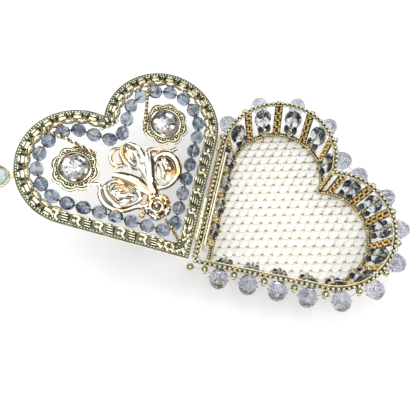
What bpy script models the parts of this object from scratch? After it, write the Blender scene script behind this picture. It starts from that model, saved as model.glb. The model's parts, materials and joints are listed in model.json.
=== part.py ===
"""Heart-shaped wedding arras box: a wire and bead basket with a hinged openwork lid, shown open.

Seen from above, the outline is a heart. Its tip is the origin of the two plans below, its axis runs
along +Y, and the hinge lies along the straight side on -X. Both plans are turned so that this side is
parallel to the hinge axis, which runs along the world's Y. Metres, +Z up.
"""

import math

import bmesh
import bpy
from mathutils import Matrix, Vector

MM = 0.001
UP = Vector((0.0, 0.0, 1.0))
ACROSS = Vector((1.0, 0.0, 0.0))
ALONG_HINGE = Vector((0.0, 1.0, 0.0))

# Clearance between pieces that touch in the real box
GAP = 0.3 * MM

# Heart outline, on the centre of the rim wire
HEART_LENGTH = 70.0 * MM
LOBE_RADIUS = 24.7 * MM
LOBE_OFFSET = 20.0 * MM
ARC_STEPS = 14
FREE = 1
HINGE = -1

# Basket
BASKET_DEPTH = 22.8 * MM
BASKET_FLARE = 4.2 * MM
RIM_WIRE_RADIUS = 1.1 * MM
FLOOR_RIM_WIDTH = 2.4 * MM
FLOOR_RIM_HEIGHT = 2.0 * MM
MESH_THICKNESS = 0.8 * MM
MESH_COLUMN_PITCH = 9.6 * MM
MESH_ROW_PITCH = 4.8 * MM
MESH_WEB = 1.3 * MM

# Posts: distances are measured along the outline from the tip
POST_WIDTH = 2.8 * MM
POST_THICKNESS = 0.9 * MM
POST_CREST_SHARE = 0.6
FREE_FIRST_POST = 4.0 * MM
FREE_POST_PITCH = 12.6 * MM
FREE_POSTS = 11
HINGE_FIRST_POST = 10.6 * MM
HINGE_POST_PITCH = 11.9 * MM
HINGE_POSTS = 5
LOBE_POST_PITCH = 15.06 * MM
LOBE_POSTS = 5

# Bay wires, each with one bead on it
BAY_WIRE_RADIUS = 0.4 * MM
INNER_BEAD_RADIUS = 3.0 * MM
INNER_BEAD_LENGTH = 5.0 * MM
INNER_BEAD_DEPTH = 14.0 * MM

# Bead profiles: each ring's place and radius as shares of the half length and of the radius
INNER_BEAD_PROFILE = ((-1.0, 0.4), (-0.3, 1.0), (0.3, 1.0), (1.0, 0.4))
CRYSTAL_PROFILE = ((-1.0, 0.35), (-0.4, 1.0), (0.4, 1.0), (1.0, 0.35))
BALL_PROFILE = ((-0.9, 0.42), (0.0, 1.0), (0.9, 0.42))

# Outer garland
CRYSTAL_RADIUS = 4.0 * MM
CRYSTAL_LENGTH = 7.8 * MM
CRYSTAL_OUT = 4.6 * MM
CRYSTAL_DROP = 7.7 * MM
BALL_RADIUS = 1.9 * MM
BALL_OUT = 2.3 * MM
BALL_DROP = 3.4 * MM
TIP_BALL_OUT = 3.4 * MM
TIP_BALL_DROP = 5.0 * MM

# Hinge
OPEN_ANGLE = math.radians(165.3)
ROD_RADIUS = 0.35 * MM
BARREL_WALL = 0.3 * MM
ROD_START = 7.0 * MM
ROD_END = 56.0 * MM
LOWER_BARREL_START = 8.5 * MM
BARREL_LENGTH = 9.0 * MM
UPPER_BARREL_LENGTH = 5.0 * MM
ROD_OVERHANG = 1.5 * MM
LID_EDGE_CLEARANCE = 0.3 * MM

# Lid band
BAND_OVERHANG = 0.4 * MM
BAND_WIDTH = 5.6 * MM
BAND_HALF_THICKNESS = 0.45 * MM
BAND_EDGE_HALF_HEIGHT = 0.75 * MM
BAND_EDGE_WIDTH = 0.9 * MM

# Lid bead loop
LID_BEADS = 32
LID_BEAD_RADIUS = 2.85 * MM
LID_BEAD_GIRDLE = 2.2 * MM
LID_BEAD_INSET = 8.6 * MM
LOOP_CORNER_RADIUS = 4.0 * MM
LOOP_DIP = 11.2 * MM
LOOP_ARC_END = math.radians(112.0)
LOOP_DIP_HANDLE = 4.2 * MM
LOOP_CORNER_STEPS = 8
LOOP_LOBE_STEPS = 32
LOOP_DIP_STEPS = 16
LID_WIRE_RADIUS = 0.7 * MM

# Medallions, placed from the lobe's centre
MEDALLION_OUT = 1.5 * MM
MEDALLION_BACK = 0.2 * MM
STONE_RADIUS = 6.2 * MM
STONE_HEIGHT = 2.9 * MM
STONE_PROFILE = ((-0.45, 0.66), (-0.12, 1.0), (0.12, 1.0), (0.62, 0.74), (1.0, 0.42))
FRAME_RADIUS = 10.2 * MM
FRAME_LOBE_DEPTH = 1.3 * MM
FRAME_LOBES = 8
FRAME_COLLAR_HALF_HEIGHT = 1.2 * MM
FRAME_EDGE_HALF_HEIGHT = 0.5 * MM

# Twisted wires, which cross in front of the bead loop
TWISTED_RADIUS = 0.8 * MM
TWISTED_STEPS = 11
TWISTS = 1.5
LOBE_WIRE_BEADS = 12
LOBE_WIRE_LEAN = Vector((13.4, 19.4, 0.0)).normalized()
LOBE_WIRE_BEFORE = 5.2 * MM
LOBE_WIRE_AFTER = 18.6 * MM
TIP_WIRE_BEFORE = 7.36 * MM
TIP_WIRE_AFTER = 4.44 * MM
TIP_WIRE_END_HEIGHT = 1.2 * MM

# Clasp
CLASP_ANGLE = math.radians(19.9)
CABOCHON_RADIUS = 3.7 * MM
BEZEL_WALL = 0.6 * MM
BEZEL_HALF_HEIGHT = 0.9 * MM
BEZEL_SIDES = 12
CABOCHON_HALF_HEIGHT = 2.0 * MM
CABOCHON_PROFILE = ((-1.0, 0.45), (-0.6, 0.85), (0.0, 1.0), (0.6, 0.85), (1.0, 0.45))
CLASP_TAB_LENGTH = 1.0 * MM
CLASP_TAB_WIDTH = 2.4 * MM

# Height of the lid's mid plane over the rim wire's centre when the lid is closed
LID_HEIGHT = RIM_WIRE_RADIUS + GAP + BAND_EDGE_HALF_HEIGHT
BARREL_BORE = ROD_RADIUS + GAP
BARREL_RADIUS = BARREL_BORE + BARREL_WALL
HINGE_STANDOFF = BAND_OVERHANG + LID_EDGE_CLEARANCE + BARREL_RADIUS
HINGE_HEIGHT = math.sqrt((RIM_WIRE_RADIUS + BARREL_RADIUS + GAP) ** 2 - HINGE_STANDOFF**2)
FLOOR_SCALE = 1.0 - BASKET_FLARE / (LOBE_OFFSET + LOBE_RADIUS)
# The flower's widths and heights are drawn in this unit, a seventieth of the heart's length
UNIT = HEART_LENGTH / 70.0
# The lid's inner face looks down when it is closed
INNER = -1.0


class Heart:
    """A heart of two round lobes and two straight sides, with its tip at the origin and its axis on +Y.

    A place on it is a side, FREE or HINGE, and the distance from the tip along that side.
    """

    def __init__(self, length, radius, offset):
        self.radius = radius
        self.offset = offset
        self.length = length
        self.lobe_along = length - math.sqrt(radius**2 - offset**2)
        reach = math.hypot(offset, self.lobe_along)
        self.half_angle = math.atan2(offset, self.lobe_along) + math.asin(radius / reach)
        self.straight = math.sqrt(reach**2 - radius**2)
        self.arc_start = -self.half_angle
        self.arc_end = math.pi - math.atan2(length - self.lobe_along, offset)
        self.half_length = self.straight + radius * (self.arc_end - self.arc_start)
        centre_along = (self.lobe_along + radius) / (1.0 + math.sin(self.half_angle))
        self.centre = Vector((0.0, centre_along, 0.0))

    def outward(self, side, distance):
        """The direction square to the outline, away from the heart."""
        angle = self.arc_start + max(0.0, distance - self.straight) / self.radius
        return Vector((side * math.cos(angle), math.sin(angle), 0.0))

    def point(self, side, distance):
        """The point of the outline at this distance from the tip."""
        if distance <= self.straight:
            sine, cosine = math.sin(self.half_angle), math.cos(self.half_angle)
            return Vector((side * sine, cosine, 0.0)) * distance
        centre = Vector((side * self.offset, self.lobe_along, 0.0))
        return centre + self.outward(side, distance) * self.radius

    def outline(self):
        """The whole outline once round, from the tip up the free side."""
        step = (self.half_length - self.straight) / ARC_STEPS
        places = [self.straight + step * i for i in range(ARC_STEPS + 1)]
        free = [self.point(FREE, place) for place in places]
        hinge = [self.point(HINGE, place) for place in reversed(places[:-1])]
        return [Vector((0.0, 0.0, 0.0))] + free + hinge


RIM = Heart(HEART_LENGTH, LOBE_RADIUS, LOBE_OFFSET)


def wall_point(side, distance, depth):
    """The place on the leaning wall, this far below the rim wire's centre."""
    rim_point = RIM.point(side, distance)
    floor_point = RIM.centre + (rim_point - RIM.centre) * FLOOR_SCALE
    return rim_point.lerp(floor_point, depth / BASKET_DEPTH) - UP * depth


def circle(radius, sides):
    """A round section of this many sides."""
    turns = [math.tau * (i + 0.5) / sides for i in range(sides)]
    return [(radius * math.cos(turn), radius * math.sin(turn)) for turn in turns]


def spoke(angle):
    """The direction at this angle from +X in the plan."""
    return Vector((math.cos(angle), math.sin(angle), 0.0))


def turned(section, angle):
    """The section turned about its middle."""
    cosine, sine = math.cos(angle), math.sin(angle)
    return [(a * cosine - b * sine, a * sine + b * cosine) for a, b in section]


def ring(centre, side, up, section):
    """The points of a section placed at centre, in the plane of side and up."""
    return [centre + side * a + up * b for a, b in section]


def rings_along(path, sections, up=UP, closed=False):
    """One ring for each point of the path, mitred where the path turns; a runs across up, b along it."""
    rings = []
    last = len(path) - 1
    for i, point in enumerate(path):
        back = path[i - 1] if i or closed else None
        ahead = path[(i + 1) % len(path)] if i < last or closed else None
        into = (point - back) if back is not None else (ahead - point)
        out = (ahead - point) if ahead is not None else (point - back)
        first, second = into.cross(up).normalized(), out.cross(up).normalized()
        side = (first + second) / (1.0 + first.dot(second))
        rise = side.cross(into.normalized() + out.normalized()).normalized()
        rings.append(ring(point, side, rise, sections[i]))
    return rings


def place(name, shape, material, parent):
    """A named object from a bmesh, under its parent."""
    mesh = bpy.data.meshes.new(name)
    bmesh.ops.recalc_face_normals(shape, faces=shape.faces)
    shape.to_mesh(mesh)
    shape.free()
    mesh.materials.append(material)
    obj = bpy.data.objects.new(name, mesh)
    obj.parent = parent
    bpy.context.scene.collection.objects.link(obj)
    return obj


def skin(name, rings, material, parent, closed=False):
    """One closed body through rings of equally many points; its ends are capped unless it closes."""
    shape = bmesh.new()
    loops = [[shape.verts.new(point) for point in points] for points in rings]
    following = loops[1:] + loops[:1] if closed else loops[1:]
    for one, other in zip(loops, following):
        for i in range(len(one)):
            j = (i + 1) % len(one)
            shape.faces.new((one[i], one[j], other[j], other[i]))
    if not closed:
        shape.faces.new(loops[0])
        shape.faces.new(loops[-1])
    return place(name, shape, material, parent)


def joined(target, pieces):
    """Makes one body of overlapping pieces, which stay as hidden guides."""
    for piece in pieces:
        union = target.modifiers.new(piece.name, "BOOLEAN")
        union.operation = "UNION"
        union.object = piece
        piece.hide_render = True
        piece.display_type = "WIRE"
    return target


def finish(name, colour, roughness, metallic, transmission=0.0):
    """A Principled material."""
    material = bpy.data.materials.new(name)
    material.use_nodes = True
    shader = material.node_tree.nodes["Principled BSDF"]
    shader.inputs["Base Color"].default_value = (*colour, 1.0)
    shader.inputs["Roughness"].default_value = roughness
    shader.inputs["Metallic"].default_value = metallic
    shader.inputs["Transmission Weight"].default_value = transmission
    material.diffuse_color = (*colour, 1.0)
    return material


def empty(name, location, parent=None, rotation=(0.0, 0.0, 0.0)):
    """An empty that carries pieces."""
    obj = bpy.data.objects.new(name, None)
    obj.location = location
    obj.rotation_euler = rotation
    obj.parent = parent
    bpy.context.scene.collection.objects.link(obj)
    return obj


def post_places():
    """Each post's side and distance: up the free side, then up the hinge side and round its lobe."""
    free = [(FREE, FREE_FIRST_POST + FREE_POST_PITCH * i) for i in range(FREE_POSTS)]
    hinge = [(HINGE, HINGE_FIRST_POST + HINGE_POST_PITCH * i) for i in range(HINGE_POSTS)]
    lobe_start = hinge[-1][1]
    lobe = [(HINGE, lobe_start + LOBE_POST_PITCH * (i + 1)) for i in range(LOBE_POSTS)]
    return free, hinge, lobe


def bay_places(posts):
    """The middle of each bay between two posts that follow each other."""
    return [(one[0], (one[1] + other[1]) / 2.0) for one, other in zip(posts, posts[1:])]


def wall_ends(side, distance):
    """The upper and lower ends of what stands between the two rims."""
    top = RIM_WIRE_RADIUS + GAP
    bottom = BASKET_DEPTH - FLOOR_RIM_HEIGHT / 2.0 - GAP
    return wall_point(side, distance, top), wall_point(side, distance, bottom)


def add_rims(basket, gold):
    """The rope-like rim wire and the flat floor rim."""
    path = RIM.outline()
    rope = [circle(RIM_WIRE_RADIUS, 8)] * len(path)
    skin("base_rim_wire", rings_along(path, rope, closed=True), gold, basket, closed=True)
    low = [RIM.centre + (p - RIM.centre) * FLOOR_SCALE - UP * BASKET_DEPTH for p in path]
    width, height = FLOOR_RIM_WIDTH / 2.0, FLOOR_RIM_HEIGHT / 2.0
    strip = [(width, -height), (width, height), (-width, height), (-width, -height)]
    rings = rings_along(low, [strip] * len(low), closed=True)
    skin("base_floor_rim", rings, gold, basket, closed=True)
    return low


def add_floor_mesh(basket, gold, low):
    """A plate pierced with staggered diamonds, inside the floor rim."""
    inset = FLOOR_RIM_WIDTH / 2.0 + GAP
    half = MESH_THICKNESS / 2.0
    edge = rings_along(low, [[(-inset, 0.0)]] * len(low), closed=True)
    outline = [points[0] for points in edge]
    faces = [[p + UP * half for p in outline], [p - UP * half for p in outline]]
    plate = skin("base_floor_mesh", faces, gold, basket)
    reach_across = MESH_COLUMN_PITCH / 2.0 - MESH_WEB
    reach_along = reach_across * 2.0 * MESH_ROW_PITCH / MESH_COLUMN_PITCH
    cutter = bmesh.new()
    rows = int(max(point.y for point in outline) / MESH_ROW_PITCH)
    columns = int(max(point.x for point in outline) / MESH_COLUMN_PITCH)
    for row in range(rows + 1):
        for column in range(-columns, columns + 1):
            across = (column + (row % 2) / 2.0) * MESH_COLUMN_PITCH
            middle = Vector((across, row * MESH_ROW_PITCH, -BASKET_DEPTH))
            corners = [
                middle + Vector((reach_across, 0.0, 0.0)),
                middle + Vector((0.0, reach_along, 0.0)),
                middle - Vector((reach_across, 0.0, 0.0)),
                middle - Vector((0.0, reach_along, 0.0)),
            ]
            if all(inside(corner, outline, MESH_WEB) for corner in corners):
                add_prism(cutter, corners, MESH_THICKNESS)
    holes = place("floor_mesh_holes", cutter, gold, basket)
    cut = plate.modifiers.new("holes", "BOOLEAN")
    cut.operation = "DIFFERENCE"
    cut.object = holes
    holes.hide_render = True
    holes.display_type = "WIRE"


def inside(point, outline, margin):
    """Whether the point is within the outline and at least the margin away from it."""
    crossings = 0
    for one, other in zip(outline, outline[1:] + outline[:1]):
        run = other - one
        share = min(1.0, max(0.0, (point - one).dot(run) / run.length_squared))
        if (one + run * share - point).length < margin:
            return False
        if (one.y > point.y) != (other.y > point.y):
            crossings += one.x + run.x * (point.y - one.y) / run.y > point.x
    return crossings % 2 == 1


def add_prism(shape, corners, reach):
    """An upright prism on these corners, from below them to above them by reach."""
    low = [shape.verts.new(corner - UP * reach) for corner in corners]
    high = [shape.verts.new(corner + UP * reach) for corner in corners]
    shape.faces.new(low)
    shape.faces.new(high)
    for i in range(len(corners)):
        j = (i + 1) % len(corners)
        shape.faces.new((low[i], low[j], high[j], high[i]))


def add_posts(basket, gold, places):
    """The embossed strips between the rims, with a raised middle on both faces."""
    half, thick = POST_WIDTH / 2.0, POST_THICKNESS / 2.0
    crest = half * POST_CREST_SHARE
    section = [(half, 0.0), (crest, thick), (-crest, thick)]
    section += [(-a, -b) for a, b in section]
    for number, (side, distance) in enumerate(places, start=1):
        outward = RIM.outward(side, distance)
        across = outward.cross(UP)
        rings = [ring(end, across, outward, section) for end in wall_ends(side, distance)]
        skin(f"wall_post_{number:02d}", rings, gold, basket)


def add_bay_wires(basket, crystal, places):
    """An upright wire in each bay with one faceted bead."""
    for number, (side, distance) in enumerate(places, start=1):
        top, bottom = wall_ends(side, distance)
        outward = RIM.outward(side, distance)
        middle = wall_point(side, distance, INNER_BEAD_DEPTH)
        reach = (bottom - top).normalized() * INNER_BEAD_LENGTH / 2.0
        bead = [(middle + reach * along, INNER_BEAD_RADIUS * share)
                for along, share in INNER_BEAD_PROFILE]
        steps = [(top, BAY_WIRE_RADIUS)] + bead + [(bottom, BAY_WIRE_RADIUS)]
        sections = [circle(radius, 6) for _, radius in steps]
        rings = rings_along([point for point, _ in steps], sections, up=outward)
        skin(f"bay_wire_{number:02d}", rings, crystal, basket)


def crystal_rings(centre, outward):
    """The rings of one big crystal, strung square to outward."""
    half_length = outward.cross(UP) * CRYSTAL_LENGTH / 2.0
    return [ring(centre + half_length * along, outward, UP, circle(CRYSTAL_RADIUS * share, 8))
            for along, share in CRYSTAL_PROFILE]


def ball_rings(centre, outward):
    """The rings of one metal ball, strung square to outward."""
    half_length = outward.cross(UP) * BALL_RADIUS
    return [ring(centre + half_length * along, outward, UP, circle(BALL_RADIUS * share, 8))
            for along, share in BALL_PROFILE]


def add_garland(basket, crystal, bays, posts):
    """The outer string: a big crystal before each bay, a metal ball at each post and one at the tip.

    It runs from the hinge side round both lobes and down the free side.
    """
    beads = [(side, s, CRYSTAL_OUT, CRYSTAL_DROP, crystal_rings) for side, s in bays]
    beads += [(side, s, BALL_OUT, BALL_DROP, ball_rings) for side, s in posts]
    whole = 2.0 * RIM.half_length
    beads.sort(key=lambda bead: bead[1] if bead[0] == HINGE else whole - bead[1])
    rings = []
    for side, distance, out, drop, bead_rings in beads:
        outward = RIM.outward(side, distance)
        centre = RIM.point(side, distance) + outward * out - UP * drop
        rings += bead_rings(centre, outward)
    past_tip = Vector((0.0, -1.0, 0.0))
    rings += ball_rings(past_tip * TIP_BALL_OUT - UP * TIP_BALL_DROP, past_tip)
    skin("outer_crystal_garland", rings, crystal, basket)


def sleeve(name, start, end, radius, bore, sides, material, parent):
    """A hollow barrel round the hinge axis."""
    profile = [(bore, start), (radius, start), (radius, end), (bore, end)]
    rings = []
    for i in range(sides):
        angle = math.tau * i / sides
        reach = Vector((math.cos(angle), 0.0, math.sin(angle)))
        rings.append([reach * r + ALONG_HINGE * along for r, along in profile])
    return skin(name, rings, material, parent, closed=True)


def add_hinge(axis, lid_axis, gold):
    """The rod, the two barrels on the basket and the one on the lid."""
    rod = [ring(ALONG_HINGE * end, ACROSS, UP, circle(ROD_RADIUS, 8))
           for end in (ROD_START, ROD_END)]
    skin("hinge_rod", rod, gold, axis)
    size = (BARREL_RADIUS, BARREL_BORE, 10, gold)
    lower_end = LOWER_BARREL_START + BARREL_LENGTH
    sleeve("base_hinge_barrel_lower", LOWER_BARREL_START, lower_end, *size, axis)
    upper_end = ROD_END - ROD_OVERHANG
    sleeve("base_hinge_barrel_upper", upper_end - UPPER_BARREL_LENGTH, upper_end, *size, axis)
    lid_start = lower_end + GAP
    sleeve("lid_hinge_barrel", lid_start, lid_start + BARREL_LENGTH, *size, lid_axis)


def add_lid_band(lid, gold):
    """The flat ornamental frame, with a beaded outer edge."""
    path = RIM.outline()
    outer = BAND_OVERHANG
    shoulder = BAND_OVERHANG - BAND_EDGE_WIDTH
    inner = BAND_OVERHANG - BAND_WIDTH
    crest = BAND_OVERHANG - BAND_EDGE_WIDTH / 3.0
    section = [
        (outer, 0.0),
        (crest, BAND_EDGE_HALF_HEIGHT),
        (shoulder, BAND_HALF_THICKNESS),
        (inner, BAND_HALF_THICKNESS),
        (inner, -BAND_HALF_THICKNESS),
        (shoulder, -BAND_HALF_THICKNESS),
        (crest, -BAND_EDGE_HALF_HEIGHT),
    ]
    rings = rings_along(path, [section] * len(path), closed=True)
    skin("lid_band", rings, gold, lid, closed=True)


def half_loop():
    """The free half of the bead loop's centre line, from the tip's round corner to the dip."""
    inset = LID_BEAD_INSET
    corner = Vector((0.0, (inset + LOOP_CORNER_RADIUS) / math.sin(RIM.half_angle), 0.0))
    points = []
    for i in range(LOOP_CORNER_STEPS + 1):
        turn = (math.pi / 2.0 - RIM.half_angle) * i / LOOP_CORNER_STEPS
        points.append(corner + spoke(turn - math.pi / 2.0) * LOOP_CORNER_RADIUS)
    lobe = Vector((RIM.offset, RIM.lobe_along, 0.0))
    for i in range(LOOP_LOBE_STEPS + 1):
        turn = (LOOP_ARC_END - RIM.arc_start) * i / LOOP_LOBE_STEPS
        points.append(lobe + spoke(RIM.arc_start + turn) * (RIM.radius - inset))
    start = points[-1]
    away = spoke(LOOP_ARC_END + math.pi / 2.0) * LOOP_DIP_HANDLE
    end = Vector((0.0, RIM.length - LOOP_DIP, 0.0))
    level = Vector((LOOP_DIP_HANDLE, 0.0, 0.0))
    for i in range(1, LOOP_DIP_STEPS + 1):
        t = i / LOOP_DIP_STEPS
        points.append(
            start * (1 - t) ** 3
            + (start + away) * 3 * t * (1 - t) ** 2
            + (end + level) * 3 * t * t * (1 - t)
            + end * t**3
        )
    return points


def point_at(path, distance):
    """The point this far along a path of straight runs."""
    for one, other in zip(path, path[1:]):
        run = (other - one).length
        if distance <= run:
            return one.lerp(other, distance / run)
        distance -= run
    return path[-1]


def path_length(path):
    """The length of a path of straight runs."""
    return sum((other - one).length for one, other in zip(path, path[1:]))


def mirrored(point):
    """The same point on the hinge side of the heart's axis."""
    return Vector((-point.x, point.y, point.z))


def add_bead_loop(lid, crystal):
    """The string of beads inside the band: one body, with a thin neck between beads."""
    half = half_loop()
    pitch = path_length(half) * 2.0 / LID_BEADS
    free = []
    for i in range(LID_BEADS // 2):
        middle = (i + 0.5) * pitch
        free.append((point_at(half, middle - LID_BEAD_GIRDLE / 2.0), LID_BEAD_RADIUS))
        free.append((point_at(half, middle + LID_BEAD_GIRDLE / 2.0), LID_BEAD_RADIUS))
        free.append((point_at(half, middle + pitch / 2.0), LID_WIRE_RADIUS))
    hinge = [(mirrored(point), radius) for point, radius in reversed(free[:-1])]
    steps = free + hinge + [(half[0], LID_WIRE_RADIUS)]
    sections = [circle(radius, 8) for _, radius in steps]
    rings = rings_along([point for point, _ in steps], sections, closed=True)
    skin("lid_bead_loop", rings, crystal, lid, closed=True)
    return half, pitch


def add_medallion(lid, side, gold, stone_finish):
    """A round stone in a lobed frame."""
    name = "free" if side == FREE else "hinge"
    across = side * (RIM.offset + MEDALLION_OUT)
    centre = Vector((across, RIM.lobe_along - MEDALLION_BACK, 0.0))
    collar = STONE_RADIUS + GAP
    frame = []
    steps = FRAME_LOBES * 4
    for i in range(steps):
        angle = math.tau * i / steps
        lobe = abs(math.cos(FRAME_LOBES * angle / 2.0))
        outer = FRAME_RADIUS - FRAME_LOBE_DEPTH * (1.0 - lobe)
        profile = [
            (collar, -FRAME_COLLAR_HALF_HEIGHT),
            (outer, -FRAME_EDGE_HALF_HEIGHT),
            (outer, FRAME_EDGE_HALF_HEIGHT),
            (collar, FRAME_COLLAR_HALF_HEIGHT),
        ]
        frame.append([centre + spoke(angle) * r + UP * height for r, height in profile])
    skin(f"{name}_medallion_frame", frame, gold, lid, closed=True)
    stone = []
    for height, share in STONE_PROFILE:
        middle = centre + UP * (INNER * height * STONE_HEIGHT)
        stone.append(ring(middle, ACROSS, ALONG_HINGE, circle(STONE_RADIUS * share, 12)))
    skin(f"{name}_medallion_stone", stone, stone_finish, lid)


def add_twisted_wire(name, lid, material, start, crossing, end):
    """A twisted square wire through three points, bowed over the bead string."""
    path, sections = [], []
    square = circle(TWISTED_RADIUS, 4)
    for i in range(TWISTED_STEPS + 1):
        t = i / TWISTED_STEPS
        bow = crossing * 2.0 - (start + end) / 2.0
        path.append(start * (1 - t) ** 2 + bow * 2 * t * (1 - t) + end * t * t)
        sections.append(turned(square, math.tau * TWISTS * t))
    skin(name, rings_along(path, sections), material, lid)


def add_twisted_wires(lid, material, half, pitch):
    """One from the top of each lobe to beside its medallion, and one from the tip to the rose."""
    over_band = INNER * (BAND_HALF_THICKNESS + 2.0 * GAP + TWISTED_RADIUS)
    clear = LID_BEAD_RADIUS + TWISTED_RADIUS + 1.5 * GAP
    over_beads = INNER * math.sqrt(clear**2 - (pitch / 2.0) ** 2)
    crossing = point_at(half, LOBE_WIRE_BEADS * pitch)
    crossing.z = over_beads
    start = crossing + LOBE_WIRE_LEAN * LOBE_WIRE_BEFORE
    start.z = over_band
    end = crossing - LOBE_WIRE_LEAN * LOBE_WIRE_AFTER
    end.z = INNER * (FRAME_COLLAR_HALF_HEIGHT + GAP + TWISTED_RADIUS)
    middle = (start + end) / 2.0
    middle.z = over_beads
    for side, name in ((FREE, "free_twisted_wire"), (HINGE, "hinge_twisted_wire")):
        points = (start, middle, end)
        if side == HINGE:
            points = tuple(mirrored(point) for point in points)
        add_twisted_wire(name, lid, material, *points)
    loop_tip = half[0].y
    low = Vector((0.0, loop_tip - TIP_WIRE_BEFORE, over_band))
    bow = Vector((0.0, loop_tip, over_beads + INNER * GAP))
    high = Vector((0.0, loop_tip + TIP_WIRE_AFTER, INNER * TIP_WIRE_END_HEIGHT))
    add_twisted_wire("tip_twisted_wire", lid, material, low, bow, high)


def oval_loop(name, centre, long_axis, short_radius, wire, height, material, lid):
    """A closed petal outline of flattened wire."""
    path = []
    short_axis = long_axis.cross(UP).normalized() * short_radius
    for i in range(14):
        angle = math.tau * i / 14
        path.append(centre + long_axis * math.cos(angle) + short_axis * math.sin(angle))
    section = [(a, b * height / wire) for a, b in circle(wire, 6)]
    return skin(name, rings_along(path, [section] * 14, closed=True), material, lid, closed=True)


def mound(name, centre, half_length, half_width, half_height, tilt, material, lid):
    """A rounded boss, longest along its tilt from the heart's axis."""
    shape = bmesh.new()
    bmesh.ops.create_icosphere(shape, subdivisions=2, radius=1.0)
    size = Matrix.Diagonal((half_width, half_length, half_height, 1.0))
    turn = Matrix.Rotation(tilt, 4, "Z")
    bmesh.ops.transform(shape, matrix=Matrix.Translation(centre) @ turn @ size, verts=shape.verts)
    return place(name, shape, material, lid)


def strand(name, points, radii, height, material, lid):
    """A flattened wire through these points, with a width at each."""
    sections = [[(a, b * height) for a, b in circle(radius, 6)] for radius in radii]
    return skin(name, rings_along(points, sections), material, lid)


def flower_units():
    """The flower's unit across and along the lid, from the room between the beads and the medallions."""
    # in the drawing the medallions start at 45.1, and at 33.2 the beads leave 16.63 on either side
    along = (RIM.lobe_along - MEDALLION_BACK - FRAME_RADIUS) / 45.1
    neck = 33.2 * along * math.sin(RIM.half_angle)
    room = (neck - LID_BEAD_INSET - LID_BEAD_RADIUS) / math.cos(RIM.half_angle)
    return room / 16.63, along


def add_flower(lid, gold):
    """The casting in the middle of the lid: rose, bud, two looped petals, stems and scrolls."""
    unit_across, unit_along = flower_units()

    def at(across, along, height=0.0):
        return Vector((across * unit_across, along * unit_along, INNER * height * UNIT))

    hub = mound("flower_casting", at(-1.4, 34.6), 5.2 * UNIT, 3.9 * UNIT, 1.5 * UNIT, 0.35, gold,
                lid)
    pieces = [
        mound("rose", at(0.2, 24.8, 0.3), 4.7 * UNIT, 4.7 * UNIT, 2.4 * UNIT, 0.0, gold, lid),
        mound("bud", at(-1.5, 48.6, 0.4), 6.2 * UNIT, 3.9 * UNIT, 2.2 * UNIT, 0.12, gold, lid),
        oval_loop("right_petal", at(-10.2, 36.9, 0.2), at(4.3, -6.2), 4.6 * UNIT, 1.1 * UNIT, 1.25 * UNIT,
                  gold, lid),
        oval_loop("left_petal", at(9.6, 37.0, 0.25), at(5.0, 4.8), 4.6 * UNIT, 1.05 * UNIT, 1.2 * UNIT,
                  gold, lid),
        strand("bud_stem", [at(-1.0, 31.0), at(-2.6, 38.0), at(-2.4, 44.5)],
               [1.5 * UNIT, 1.9 * UNIT, 1.7 * UNIT], 0.7, gold, lid),
        strand("right_stem", [at(-0.9, 33.0, 0.1), at(-5.0, 41.1, 0.1), at(-8.2, 47.6, 0.1)],
               [1.9 * UNIT, 2.2 * UNIT, 1.5 * UNIT], 0.62, gold, lid),
        strand("left_stem", [at(-0.9, 33.4, 0.15), at(3.4, 39.0, 0.15), at(9.6, 45.2, 0.15)],
               [2.0 * UNIT, 2.3 * UNIT, 1.3 * UNIT], 0.6, gold, lid),
        strand("right_scroll", [at(-7.0, 46.0), at(-9.6, 47.6), at(-15.3, 43.6), at(-20.5, 43.3)],
               [0.8 * UNIT] * 4, 1.0, gold, lid),
        strand("left_scroll", [at(3.2, 25.8), at(7.4, 29.6), at(14.6, 33.2), at(18.0, 38.2),
                               at(16.6, 43.8)], [0.85 * UNIT] * 5, 1.0, gold, lid),
        strand("bud_scroll", [at(2.0, 46.4), at(6.6, 48.4), at(6.9, 52.0), at(3.4, 54.0),
                              at(0.2, 52.0)], [0.7 * UNIT] * 5, 1.0, gold, lid),
        strand("leaf", [at(2.6, 26.2, 0.1), at(5.4, 25.8, 0.1), at(6.4, 23.8, 0.1)],
               [0.9 * UNIT, 1.2 * UNIT, 0.4 * UNIT], 0.6, gold, lid),
    ]
    joined(hub, pieces)


def add_clasp(lid, gold, opal):
    """The round cabochon in its bezel, on a tab from the free lobe."""
    outward = spoke(CLASP_ANGLE)
    bezel_radius = CABOCHON_RADIUS + GAP + BEZEL_WALL
    lobe = Vector((RIM.offset, RIM.lobe_along, 0.0))
    edge = RIM.radius + BAND_OVERHANG + GAP
    centre = lobe + outward * (edge + CLASP_TAB_LENGTH + bezel_radius)
    height = BEZEL_HALF_HEIGHT
    bore = CABOCHON_RADIUS + GAP
    profile = [(bore, -height), (bezel_radius, -height), (bezel_radius, height), (bore, height)]
    turns = [math.tau * (i + 0.5) / BEZEL_SIDES for i in range(BEZEL_SIDES)]
    rings = [[centre + spoke(turn) * r + UP * rise for r, rise in profile] for turn in turns]
    bezel = skin("clasp_bezel", rings, gold, lid, closed=True)
    half = CLASP_TAB_WIDTH / 2.0
    thick = BAND_HALF_THICKNESS
    section = [(half, -thick), (half, thick), (-half, thick), (-half, -thick)]
    reaches = (edge, edge + CLASP_TAB_LENGTH + BEZEL_WALL / 2.0)
    ends = [ring(lobe + outward * reach, outward.cross(UP), UP, section) for reach in reaches]
    joined(bezel, [skin("clasp_tab", ends, gold, lid)])
    dome = []
    for rise, share in CABOCHON_PROFILE:
        middle = centre + UP * rise * CABOCHON_HALF_HEIGHT
        dome.append(ring(middle, ACROSS, ALONG_HINGE, circle(CABOCHON_RADIUS * share, 10)))
    skin("clasp_cabochon", dome, opal, lid)


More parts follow.
